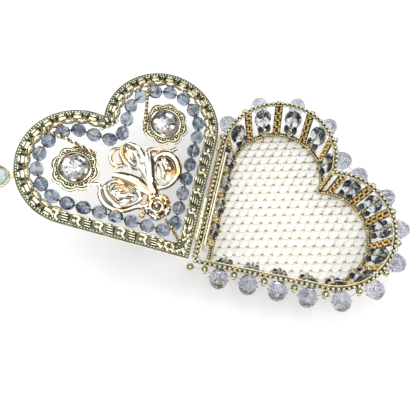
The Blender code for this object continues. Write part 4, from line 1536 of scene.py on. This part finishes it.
    def add_tip_leaves(self, shape: BMesh) -> None:
        """Adds leaves and small bosses towards the tip."""
        for side in Side:
            for distance, out, lean, size in (
                (12.4, -2.0, 0.3, 1.5), (12.2, -4.2, -0.2, 1.2), (9.4, -1.6, 0.7, 1.4), (9.6, -3.8, -0.5, 1.4),
                (6.8, -1.4, 0.2, 1.3), (7.2, -3.2, 0.9, 1.2), (4.6, -1.9, -0.4, 1.3),
            ):
                place = self.at(side, distance * MM, out * MM, 0.45 * MM)
                turn = Matrix.Rotation(lean, 4, "Z")
                ball(shape, place @ turn @ sized(1.35, 0.7, 0.6), size * MM, 0, 10, 6)
                ball(shape, place @ Matrix.Translation(Vector((1.1, 1.3, 0.0)) * MM), 0.4 * MM, 3, 6, 4)
        ball(shape, Matrix.Translation(Vector((0.0, 3.4, 0.4)) * MM) @ sized(1.0, 1.5, 0.6), 1.2 * MM, 0, 10, 6)

    def add_notch_leaves(self, shape: BMesh) -> None:
        """Adds a fan of leaves where the two lobes meet, with dark leaves of painted shade between them for the
        shaded recesses.
        """
        notch = Vector((0.0, self.plan.length, 0.4 * MM))
        for across, back, turn, length, finish in (
            (0.0, 1.9, 0.0, 1.5, 0), (-2.2, 2.6, 0.7, 1.5, 0), (2.2, 2.6, -0.7, 1.5, 0), (-1.2, 4.6, 0.2, 1.1, 0),
            (1.2, 4.6, -0.2, 1.1, 0), (-3.6, 4.4, 1.1, 1.1, 0), (3.6, 4.4, -1.1, 1.1, 0),
            # the four leaves with finish 2 are painted shade
            (-1.1, 3.0, 0.4, 0.9, 2), (1.1, 3.0, -0.4, 0.9, 2), (-2.7, 4.4, 0.8, 0.8, 2), (2.7, 4.4, -0.8, 0.8, 2),
        ):
            place = Matrix.Translation(notch + Vector((across, -back, 0.0)) * MM)
            stretch = Matrix.Rotation(turn, 4, "Z") @ sized(0.5, 1.0, 0.5)
            ball(shape, place @ stretch, length * MM, finish, 10, 6)


@dataclass
class BeadLoop:
    """The string of cut beads inside the band."""

    layout: Layout
    palette: Palette
    count: int = 32
    radius: float = 2.95 * MM
    tilt: float = 0.1 * MM
    inset: float = 8.6 * MM
    corner_radius: float = 4.0 * MM
    dip: float = 11.2 * MM
    arc_end: float = math.radians(112.0)
    dip_handle: float = 4.2 * MM
    wire_radius: float = 0.32 * MM
    spacer_radius: float = 0.45 * MM

    def half(self) -> list[Vector]:
        """The free half of the string's middle, from the tip's round corner to the dip."""
        plan = self.layout.plan
        along = (self.inset + self.corner_radius) / math.sin(plan.half_angle)
        corner = Vector((0.0, along, 0.0))
        points = []
        for i in range(9):
            turn = (math.pi / 2.0 - plan.half_angle) * i / 8 - math.pi / 2.0
            points.append(corner + Vector((math.cos(turn), math.sin(turn), 0.0)) * self.corner_radius)
        lobe = Vector((plan.offset, plan.lobe_along, 0.0))
        for i in range(33):
            turn = (self.arc_end + plan.half_angle) * i / 32 - plan.half_angle
            reach = plan.radius - self.inset
            points.append(lobe + Vector((math.cos(turn), math.sin(turn), 0.0)) * reach)
        start = points[-1]
        away = Vector((-math.sin(self.arc_end), math.cos(self.arc_end), 0.0)) * self.dip_handle
        end = Vector((0.0, plan.length - self.dip, 0.0))
        level = Vector((self.dip_handle, 0.0, 0.0))
        for i in range(1, 17):
            t = i / 16
            points.append(
                start * (1 - t) ** 3 + (start + away) * 3 * t * (1 - t) ** 2
                + (end + level) * 3 * t * t * (1 - t) + end * t**3
            )
        return points

    def build(self) -> list[Object]:
        """Makes the beads and the wire that shows between and over them."""
        half = self.half()
        path = half + [Vector((-point.x, point.y, 0.0)) for point in reversed(half[1:-1])]
        whole = sum((other - one).length for one, other in zip(path, [*path[1:], path[0]]))
        pitch = whole / self.count
        glass = Piece(
            "lid_beads", Body.LID, Slot.LID_BEADS, (self.palette.blue_crystal,), self.layout.lid()
        )
        metal = Piece(
            "lid_bead_wire", Body.LID, Slot.PALE_GOLD, (self.palette.cream_gold, self.palette.rope_gold),
            self.layout.lid(),
        )
        wires(metal.shape, [path], self.wire_radius, closed=True)
        chance = Random(3)
        for i, (place, along) in enumerate(paced(path, pitch / 2.0)):
            if i % 2:
                turn = Matrix.Rotation(chance.uniform(0.0, 0.8), 4, "X")
                stretch = sized(pitch * 0.485 / self.radius, 1.0, 1.0)
                ball(glass.shape, pose(place, along) @ turn @ stretch @ Matrix.Rotation(math.pi / 2, 4, "Y"),
                     self.radius, 0, 9, 6, smooth=False)
            else:
                ball(metal.shape, Matrix.Translation(place), self.spacer_radius, 1, 6, 4)
        tilt_facets(glass.shape, 8, self.tilt)
        # painted glints and painted shade on the beads' facets
        paint_facet_light(glass.shape, 9, BLUE_PAINTED_FACETS)
        return [glass.done("lid_bead_loop"), metal.done()]


@dataclass
class Medallion:
    """A foiled stone in a bezel, inside a ring of petals."""

    layout: Layout
    palette: Palette
    side: Side
    lobe_out: float = 1.5 * MM
    lobe_back: float = 0.2 * MM
    stone_radius: float = 6.2 * MM
    stone_height: float = 2.9 * MM
    bezel_radius: float = 6.55 * MM
    frame_radius: float = 10.0 * MM
    petals: int = 8
    petal_depth: float = 1.2 * MM
    facets: int = 14
    rings: tuple[tuple[float, float], ...] = (
        (1.0, 0.2), (0.88, 0.55), (0.68, 0.8), (0.45, 0.95), (0.22, 1.0),
    )
    # points: small cream-gold balls on the stone, which are painted glints
    points: int = 10

    def name(self, part: str) -> str:
        """The name of a piece of this medallion."""
        return f"{self.side.name.lower()}_medallion_{part}"

    def centre(self) -> Vector:
        """The middle of the medallion in the lid's plan."""
        plan = self.layout.plan
        return Vector((self.side.value * (plan.offset + self.lobe_out), plan.lobe_along - self.lobe_back, 0.0))

    def build(self) -> list[Object]:
        """Makes the frame and the stone."""
        return [self.frame(), self.stone()]

    def frame(self) -> Object:
        """Makes the frame: ground, bezel, petals and bosses."""
        palette = self.palette
        piece = Piece(
            self.name("petals"), Body.LID, Slot.PALE_GOLD,
            (palette.olive_ground, palette.pale_gold, palette.cream_gold), self.layout.lid(),
        )
        centre = self.centre()
        ground = bmesh.new()
        bmesh.ops.create_circle(ground, segments=64, radius=1.0, cap_ends=False)
        for vert in ground.verts:
            angle = math.atan2(vert.co.y, vert.co.x)
            vert.co *= self.frame_radius - self.petal_depth * (1.0 - abs(math.cos(self.petals * angle / 2.0)))
        hole = bmesh.ops.create_circle(ground, segments=64, radius=self.bezel_radius - 0.3 * MM, cap_ends=False)
        bmesh.ops.bridge_loops(ground, edges=ground.edges[:])
        bmesh.ops.solidify(ground, geom=ground.faces[:], thickness=0.9 * MM)
        bmesh.ops.translate(ground, vec=centre - UP * 0.45 * MM, verts=ground.verts)
        dress(ground.verts, 0)
        absorb(piece.shape, ground)
        rim = []
        for i in range(96):
            angle = math.tau * i / 96
            lobe = abs(math.cos(self.petals * angle / 2.0))
            reach = self.frame_radius - self.petal_depth * (1.0 - lobe)
            rim.append(Vector((math.cos(angle), math.sin(angle), 0.0)) * reach)
        wires(piece.shape, [[centre + p * 0.98 + UP * 0.3 * MM for p in rim]], 0.52 * MM, 2, closed=True)
        wires(piece.shape, [[centre + p * 0.86 + UP * 0.5 * MM for p in rim]], 0.34 * MM, 2, closed=True)
        round_path = [p.normalized() for p in rim]
        bezel = self.bezel_radius
        wires(piece.shape, [[centre + p * bezel + UP * 0.95 * MM for p in round_path]], 0.42 * MM, 1,
              sides=8, closed=True)
        wires(piece.shape, [[centre + p * (bezel + 0.75 * MM) + UP * 0.5 * MM for p in round_path]],
              0.4 * MM, 0, closed=True)
        bead = bead_stamp(6, 4)
        for i in range(self.petals * 5):
            angle = math.tau * i / (self.petals * 5)
            reach = Vector((math.cos(angle), math.sin(angle), 0.0)) * (bezel + 0.85 * MM)
            bead.press(piece.shape, Matrix.Translation(centre + reach + UP * 0.85 * MM)
                       @ Matrix.Scale(0.36 * MM, 4), 2)
        for i in range(self.petals):
            angle = math.tau * i / self.petals
            out = Vector((math.cos(angle), math.sin(angle), 0.0))
            place = pose(centre + out * 8.35 * MM + UP * 0.62 * MM, out)
            size = Vector((1.0, 1.9, 0.6)) * MM if i % 2 else Vector((1.5, 1.2, 0.7)) * MM
            block(piece.shape, place, size, 0.22 * MM, 2)
        return piece.done(f"{self.name('frame')}")

    def stone(self) -> Object:
        """Makes the foiled stone, cut in rings of facets, with painted glints and painted shade on the facets and
        gold points on it that are painted glints.
        """
        palette = self.palette
        piece = Piece(
            self.name("rhinestone"), Body.LID, Slot.RHINESTONE, (palette.stone_foil, palette.cream_gold),
            self.layout.lid(),
        )
        centre = self.centre()
        own = bmesh.new()
        bmesh.ops.create_circle(own, segments=self.facets, radius=self.stone_radius, cap_ends=True)
        faces = own.faces[:]
        half_step = Matrix.Rotation(math.pi / self.facets, 4, "Z")
        for share, height in self.rings:
            top = bmesh.ops.extrude_face_region(own, geom=faces, use_keep_orig=len(own.faces) == 1)
            verts = [item for item in top["geom"] if isinstance(item, BMVert)]
            faces = [item for item in top["geom"] if isinstance(item, BMFace)]
            for vert in verts:
                flat = Vector((vert.co.x, vert.co.y, 0.0)).normalized() * share * self.stone_radius
                vert.co = flat + UP * height * self.stone_height
            bmesh.ops.transform(own, matrix=half_step, verts=verts)
        bmesh.ops.poke(own, faces=faces, offset=0.1 * MM)
        bmesh.ops.triangulate(own, faces=[face for face in own.faces if len(face.verts) == 4])
        bmesh.ops.translate(own, vec=centre, verts=own.verts)
        dress(own.verts, 0, smooth=False)
        # painted glints and painted shade on the stone's facets
        paint_facet_light(own, self.side.value + 4, STONE_PAINTED_FACETS)
        absorb(piece.shape, own)
        # the gold points: small cream-gold balls that are painted glints
        for i in range(self.points):
            angle = 2.4 * i
            reach = (0.9 + 0.42 * i) * MM
            place = centre + Vector((math.cos(angle), math.sin(angle), 0.0)) * reach
            high = UP * (1.02 - 0.05 * i) * self.stone_height
            ball(piece.shape, Matrix.Translation(place + high) @ sized(1.0, 1.0, 0.5), 0.36 * MM, 1, 6, 4)
        return piece.done(self.name("stone"))


@dataclass
class TwistedWires:
    """The three twisted cords that cross in front of the beads."""

    layout: Layout
    palette: Palette
    loop: BeadLoop
    strand_radius: float = 0.42 * MM
    strand_reach: float = 0.4 * MM
    turns: float = 6.0
    lean: Vector = field(default_factory=lambda: Vector((13.4, 19.4, 0.0)).normalized())
    before: float = 5.2 * MM
    after: float = 18.6 * MM
    beads_up: int = 12

    def build(self) -> list[Object]:
        """Makes one cord in each lobe and one at the tip."""
        half = self.loop.half()
        whole = sum((other - one).length for one, other in zip(half, half[1:]))
        pitch = whole * 2.0 / self.loop.count
        crossing = paced(half, pitch / 4.0, closed=False)[self.beads_up * 4][0]
        start = crossing + self.lean * self.before + UP * 1.9 * MM
        end = crossing - self.lean * self.after + UP * 2.3 * MM
        middle = (start + end) / 2.0
        middle.z = 3.5 * MM
        tip = Vector((0.0, half[0].y, 0.0))
        made = [
            self.cord("free_twisted_cord", [start, middle, end], "free_twisted_wire"),
            self.cord("hinge_twisted_cord", [Vector((-p.x, p.y, p.z)) for p in (start, middle, end)],
                      "hinge_twisted_wire"),
            self.cord(
                "tip_twisted_cord",
                [tip + Vector((0.0, -7.36, 1.9)) * MM, tip + Vector((0.0, 0.0, 3.9)) * MM,
                 tip + Vector((0.0, 4.44, 1.4)) * MM],
                "tip_twisted_wire",
            ),
        ]
        return made

    def cord(self, name: str, points: Sequence[Vector], replaced: str) -> Object:
        """Makes one cord of two strands.

        Args:
            name: its name.
            points: its two ends, with a place between them.
            replaced: the CAD node that it stands for.

        Returns:
            The cord.
        """
        piece = Piece(
            name, Body.LID, Slot.HINGE_GOLD, (self.palette.cream_gold, self.palette.rope_gold),
            self.layout.lid(),
        )
        path = flowing(points, 10)
        length = sum((other - one).length for one, other in zip(path, path[1:]))
        turns = self.turns * length / (20.0 * MM)
        for finish, phase in enumerate((0.0, math.pi)):
            strand = twisted(path, self.strand_reach, turns, phase, 72)
            wires(piece.shape, [strand], self.strand_radius, finish)
        return piece.done(replaced)


@dataclass
class FlowerCasting:
    """The casting in the middle of the lid: rose, bud, two open petals, stems and scrolls."""

    layout: Layout
    palette: Palette
    voxel: float = 0.2 * MM
    fullness: float = 1.5

    @staticmethod
    def at(across: float, along: float, high: float = 0.0) -> Vector:
        """A place in the lid's plan, from millimetres."""
        return Vector((across, along, high)) * MM

    def tube(self, shape: BMesh, points: Sequence[tuple], widths: Sequence[float], flat: float = 0.8,
             closed: bool = False, steps: int = 6) -> None:
        """Adds a stem or scroll through a few places.

        Args:
            shape: what it is added to.
            points: its places, in millimetres.
            widths: its radius at each place, in millimetres.
            flat: its height as a share of its width.
            closed: whether it closes on itself.
            steps: how finely each span is cut.
        """
        path = flowing([self.at(*point) for point in points], steps, closed)
        sizes = flowing([Vector((width, 0.0, 0.0)) for width in widths], steps, closed)
        own = bmesh.new()
        wires(own, [path], self.fullness * MM, sides=10, closed=closed, taper=[size.x for size in sizes])
        middle = sum(point.z for point in path) / len(path)
        squash = Matrix.Translation(UP * middle) @ sized(1.0, 1.0, flat) @ Matrix.Translation(-UP * middle)
        bmesh.ops.transform(own, matrix=squash, verts=own.verts)
        absorb(shape, own)

    def mound(self, shape: BMesh, place: tuple, size: tuple, lean: float = 0.0) -> None:
        """Adds a rounded boss of this half size in millimetres, leant in the plan."""
        turn = Matrix.Rotation(lean, 4, "Z")
        ball(shape, Matrix.Translation(self.at(*place)) @ turn @ sized(*size), 1.0 * MM, 0, 16, 10)

    def build(self) -> list[Object]:
        """Models the parts and fuses them as one casting."""
        piece = Piece(
            "polished_flower", Body.LID, Slot.FLOWER_GOLD, (self.palette.flower_gold,), self.layout.lid()
        )
        shape = piece.shape
        self.add_rose(shape)
        self.add_bud(shape)
        self.add_petals(shape)
        self.add_stems(shape)
        made = piece.done("flower_casting")
        fuse = made.modifiers.new("fuse", "REMESH")
        fuse.mode = "VOXEL"
        fuse.voxel_size = self.voxel
        fuse.use_smooth_shade = True
        soften = made.modifiers.new("soften", "SMOOTH")
        soften.factor = 0.5
        soften.iterations = 3
        bake_modifiers(made)
        LOG.info("%s: fused to %d faces", made.name, len(made.data.polygons))
        return [made]

    def add_rose(self, shape: BMesh) -> None:
        """Adds the rose: a spiral of petals round its heart, with crescents outside."""
        across, along = 0.2, 24.8
        self.mound(shape, (across, along, 0.0), (4.4, 4.4, 1.1))
        self.mound(shape, (across + 0.2, along + 0.2, 1.6), (1.0, 1.0, 1.1))
        spiral = []
        for i in range(22):
            angle = 0.9 + i * 0.42
            reach = 1.3 + 0.115 * i
            spiral.append((across + reach * math.cos(angle), along + reach * math.sin(angle), 2.1 - 0.05 * i))
        self.tube(shape, spiral, [0.42 + 0.012 * i for i in range(22)], 1.3, steps=3)
        for i in range(5):
            angle = 0.4 + math.tau * i / 5.0
            arc = [
                (across + 4.6 * math.cos(angle + t), along + 4.6 * math.sin(angle + t), h)
                for t, h in ((-0.75, 0.3), (-0.35, 1.1), (0.1, 1.35), (0.6, 0.6))
            ]
            self.tube(shape, arc, [0.4, 0.95, 1.0, 0.4], 1.0)

    def add_bud(self, shape: BMesh) -> None:
        """Adds the bud: a pointed heart wrapped in long petals."""
        self.mound(shape, (-1.5, 48.8, 0.2), (4.4, 6.8, 1.3), 0.12)
        self.mound(shape, (-1.2, 50.2, 1.3), (1.7, 3.8, 1.3), 0.1)
        self.tube(shape, [(-2.6, 43.4, 0.7), (-5.2, 47.0, 1.3), (-4.9, 51.4, 1.5), (-2.6, 54.8, 1.2)],
                  [0.7, 1.1, 1.0, 0.5])
        self.tube(shape, [(-0.6, 43.0, 0.8), (2.0, 46.4, 1.5), (2.3, 50.8, 1.5), (0.4, 54.6, 1.1)],
                  [0.7, 1.1, 1.0, 0.5])
        self.tube(shape, [(-2.0, 44.6, 1.6), (-2.9, 48.0, 2.2), (-1.8, 52.0, 2.0)], [0.6, 0.8, 0.4])
        self.tube(shape, [(-0.4, 44.8, 1.6), (0.5, 47.6, 2.1), (0.2, 51.0, 1.9)], [0.5, 0.6, 0.35])

    def add_petals(self, shape: BMesh) -> None:
        """Adds the two open petals, each a rolled rim round a curled tongue."""
        right = [(-4.6, 31.6, 0.4), (-9.2, 30.6, 0.7), (-14.6, 33.0, 1.0), (-16.6, 38.6, 1.1),
                 (-14.2, 43.2, 0.9), (-9.8, 43.4, 0.7), (-6.2, 39.6, 0.6), (-4.2, 35.4, 0.4)]
        self.tube(shape, right, [1.0, 0.8, 1.1, 1.35, 1.2, 0.9, 1.0, 1.1], 1.0, closed=True)
        self.mound(shape, (-10.6, 37.4, -0.4), (5.0, 6.4, 0.8), -0.4)
        self.mound(shape, (-11.6, 38.8, 0.3), (2.1, 3.5, 1.2), -0.5)
        self.mound(shape, (-12.4, 40.4, 0.9), (1.2, 1.9, 0.9), -0.4)
        self.tube(shape, [(-8.0, 34.0, 0.3), (-9.6, 36.6, 0.9), (-10.6, 40.6, 1.0)], [0.5, 0.8, 0.5])
        left = [(4.6, 31.2, 0.4), (8.6, 30.6, 0.7), (13.2, 32.2, 0.9), (15.6, 36.6, 1.1),
                (15.2, 41.2, 1.0), (11.6, 42.8, 0.8), (7.2, 40.4, 0.6), (4.2, 36.0, 0.5)]
        self.tube(shape, left, [0.9, 0.8, 1.0, 1.3, 1.2, 0.9, 0.9, 1.0], 1.0, closed=True)
        self.mound(shape, (10.0, 36.6, -0.4), (5.2, 5.2, 0.8), 0.3)
        self.mound(shape, (11.4, 37.2, 0.3), (2.6, 2.7, 1.2), 0.3)
        self.mound(shape, (12.6, 38.4, 0.9), (1.5, 1.6, 0.9))
        self.tube(shape, [(6.0, 33.6, 0.3), (8.6, 35.0, 0.9), (11.2, 36.2, 1.0)], [0.5, 0.9, 0.6])

    def add_stems(self, shape: BMesh) -> None:
        """Adds the stems, the scrolls and the leaves at the rose."""
        self.tube(shape, [(-0.9, 29.0, 0.3), (-1.8, 34.0, 0.6), (-2.6, 39.6, 0.8), (-2.0, 45.0, 0.8)],
                  [1.6, 1.9, 1.5, 1.2], 0.75)
        self.tube(shape, [(-0.6, 31.6, 0.5), (-3.6, 38.0, 0.9), (-6.4, 43.4, 0.9), (-8.2, 47.6, 0.6)],
                  [1.5, 1.9, 1.7, 1.1], 0.75)
        self.tube(shape, [(-0.6, 31.8, 0.5), (2.6, 37.6, 0.9), (6.2, 42.4, 0.9), (9.8, 45.4, 0.5)],
                  [1.6, 2.1, 1.7, 0.9], 0.75)
        self.tube(shape, [(-6.6, 46.0, 0.4), (-9.6, 47.8, 0.6), (-13.0, 46.0, 0.5), (-16.0, 43.6, 0.3),
                          (-20.6, 43.4, 0.2)], [0.8, 0.9, 0.8, 0.8, 0.6])
        self.tube(shape, [(3.0, 25.8, 0.3), (7.4, 28.8, 0.5), (13.2, 30.4, 0.5), (17.6, 34.4, 0.4),
                          (18.4, 39.6, 0.3), (16.4, 44.4, 0.3), (20.6, 46.8, 0.2)],
                  [0.7, 0.9, 0.85, 0.85, 0.8, 0.7, 0.6])
        self.tube(shape, [(2.0, 46.6, 0.4), (6.4, 48.2, 0.6), (7.2, 51.6, 0.6), (4.4, 54.8, 0.6),
                          (1.4, 54.4, 0.5)], [0.7, 0.75, 0.7, 0.7, 0.5])
        self.mound(shape, (7.4, 24.8, 0.3), (1.3, 1.3, 1.0))
        self.mound(shape, (4.9, 26.6, 0.3), (1.7, 1.1, 0.8), 0.6)
        self.mound(shape, (-4.6, 24.0, 0.1), (1.6, 1.0, 0.7), -0.5)
        self.mound(shape, (3.9, 21.6, 0.1), (2.0, 0.9, 0.7), 0.9)


def bake_modifiers(made: Object) -> None:
    """Makes what the modifiers show the object's own mesh.

    Args:
        made: the object.
    """
    bpy.context.view_layer.update()
    graph = bpy.context.evaluated_depsgraph_get()
    mesh = bpy.data.meshes.new_from_object(made.evaluated_get(graph))
    materials = list(made.data.materials)
    made.modifiers.clear()
    old = made.data
    made.data = mesh
    bpy.data.meshes.remove(old)
    mesh.name = made.name
    if not mesh.materials:
        for material in materials:
            mesh.materials.append(material)
    for face in mesh.polygons:
        face.use_smooth = True
        face.material_index = 0


@dataclass
class Clasp:
    """The round opal cabochon in its bezel, on a tab from the free lobe."""

    layout: Layout
    palette: Palette
    angle: float = math.radians(19.9)
    radius: float = 3.7 * MM
    wall: float = 0.6 * MM
    gap: float = 0.3 * MM
    overhang: float = 0.4 * MM
    tab_length: float = 1.0 * MM
    tab_width: float = 2.4 * MM
    dome: float = 2.0 * MM

    def build(self) -> list[Object]:
        """Makes the bezel and the cabochon."""
        plan = self.layout.plan
        outward = Vector((math.cos(self.angle), math.sin(self.angle), 0.0))
        lobe = Vector((plan.offset, plan.lobe_along, 0.0))
        edge = plan.radius + self.overhang + self.gap
        reach = self.radius + self.gap + self.wall
        centre = lobe + outward * (edge + self.tab_length + reach)
        palette = self.palette
        piece = Piece(
            "clasp_mount", Body.LID, Slot.PALE_GOLD, (palette.pale_gold, palette.cream_gold),
            self.layout.lid(),
        )
        turns = [math.tau * i / 40 for i in range(40)]
        spokes = [Vector((math.cos(turn), math.sin(turn), 0.0)) for turn in turns]
        middle = self.radius + self.gap + self.wall / 2.0
        for high, radius in ((-0.5, 0.42), (0.0, 0.42), (0.5, 0.36)):
            path = [centre + spoke * middle + UP * high * MM for spoke in spokes]
            wires(piece.shape, [path], radius * MM, sides=8, closed=True)
        bead = bead_stamp(6, 4)
        for spoke in spokes[::2]:
            place = centre + spoke * (middle + 0.1 * MM) + UP * 0.85 * MM
            bead.press(piece.shape, Matrix.Translation(place) @ Matrix.Scale(0.3 * MM, 4), 1)
        tab = pose(lobe + outward * (edge + self.tab_length / 2.0), outward)
        block(piece.shape, tab, Vector((self.tab_length + 0.9 * MM, self.tab_width, 0.9 * MM)), 0.15 * MM)
        dome = Piece(
            "opal_cabochon", Body.LID, Slot.OPAL, (palette.opal,), self.layout.lid()
        )
        ball(dome.shape, Matrix.Translation(centre) @ sized(1.0, 1.0, self.dome / self.radius), self.radius, 0,
             32, 16)
        return [piece.done("clasp_bezel"), dome.done("clasp_cabochon")]


@dataclass
class Studio:
    """The pale floor, the soft lights and the camera of the view from above."""

    floor_size: float = 3.0
    lens: float = 37.809
    camera_place: tuple[float, float, float] = (23.408 * MM, -64.406 * MM, 203.354 * MM)
    camera_turn: tuple[float, float, float] = (16.25685, 3.64766, 13.02990)

    def build(self) -> None:
        """Makes all of it."""
        bpy.context.scene.view_settings.view_transform = "Standard"
        self.lay_floor()
        self.hang_light("left_softbox", (-270.0, 150.0, 340.0), 0.17, 0.42)
        self.hang_light("right_softbox", (330.0, 80.0, 300.0), 0.15, 0.32)
        self.hang_light("front_softbox", (60.0, -380.0, 330.0), 0.15, 0.34)
        self.hang_light("back_softbox", (60.0, 430.0, 300.0), 0.17, 0.38)
        self.light_world()
        self.set_camera()

    def lay_floor(self) -> None:
        """Lays the floor, which is no part of the box."""
        shape = bmesh.new()
        bmesh.ops.create_grid(shape, x_segments=2, y_segments=2, size=self.floor_size / 2.0)
        mesh = bpy.data.meshes.new("studio_floor")
        shape.to_mesh(mesh)
        shape.free()
        mesh.materials.append(PaleFloor().build())
        floor = bpy.data.objects.new("studio_floor", mesh)
        bpy.context.scene.collection.objects.link(floor)

    @staticmethod
    def hang_light(name: str, place: tuple, size: float, power: float) -> None:
        """Hangs a square softbox, turned to the box.

        Args:
            name: its name.
            place: its place in millimetres.
            size: its side in metres.
            power: its power in watts.
        """
        lamp = bpy.data.lights.new(name, "AREA")
        lamp.size = size
        lamp.energy = power
        carrier = bpy.data.objects.new(name, lamp)
        carrier.location = Vector(place) * MM
        carrier.rotation_euler = (-carrier.location).to_track_quat("-Z", "Y").to_euler()
        bpy.context.scene.collection.objects.link(carrier)

    @staticmethod
    def light_world() -> None:
        """Lights the box from a sky that is bright overhead and dark towards the horizon."""
        world = bpy.data.worlds.new("studio")
        world.use_nodes = True
        tree = world.node_tree
        place = node(tree, "TexCoord")
        split = node(tree, "SeparateXYZ")
        sky = ramp(tree, [(0.0, (0.03, 0.03, 0.03)), (0.6, (0.03, 0.03, 0.03)), (0.8, (0.08, 0.08, 0.08)),
                          (0.9, (0.28, 0.28, 0.28)), (0.96, (0.8, 0.8, 0.8)), (0.99, (1.0, 1.0, 1.0))])
        spread = node(tree, "MapRange", {"From Min": -1.0, "From Max": 1.0})
        tree.links.new(place.outputs["Generated"], split.inputs["Vector"])
        tree.links.new(split.outputs["Z"], spread.inputs["Value"])
        tree.links.new(spread.outputs["Result"], sky.inputs["Fac"])
        tree.links.new(sky.outputs["Color"], tree.nodes["Background"].inputs["Color"])
        tree.nodes["Background"].inputs["Strength"].default_value = 1.7
        bpy.context.scene.world = world

    def set_camera(self) -> None:
        """Sets the camera."""
        camera = bpy.data.cameras.new("camera")
        camera.lens = self.lens
        camera.sensor_width = 36.0
        camera.clip_start = 0.005
        carrier = bpy.data.objects.new("camera", camera)
        carrier.location = Vector(self.camera_place)
        carrier.rotation_euler = [math.radians(angle) for angle in self.camera_turn]
        bpy.context.scene.collection.objects.link(carrier)
        bpy.context.scene.camera = carrier


def main() -> None:
    """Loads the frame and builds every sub-assembly."""
    logging.basicConfig(level=logging.INFO, format="%(message)s")
    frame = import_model()
    layout = Layout()
    palette = Palette()
    places = PostPlaces()
    loop = BeadLoop(layout, palette)
    makers = [
        RimRope(layout, palette),
        BasketFloor(layout, palette),
        EmbossedPosts(layout, palette, places),
        BayBeads(layout, palette, places),
        CrystalGarland(layout, palette, places),
        HingeSide(layout, palette, frame),
        LidBand(layout, palette),
        loop,
        Medallion(layout, palette, Side.FREE),
        Medallion(layout, palette, Side.HINGE),
        TwistedWires(layout, palette, loop),
        FlowerCasting(layout, palette),
        Clasp(layout, palette),
    ]
    for maker in makers:
        pieces = maker.build()
        LOG.info("%s: %d pieces", type(maker).__name__, len(pieces))
    Studio().build()


if __name__ == "__main__":
    main()
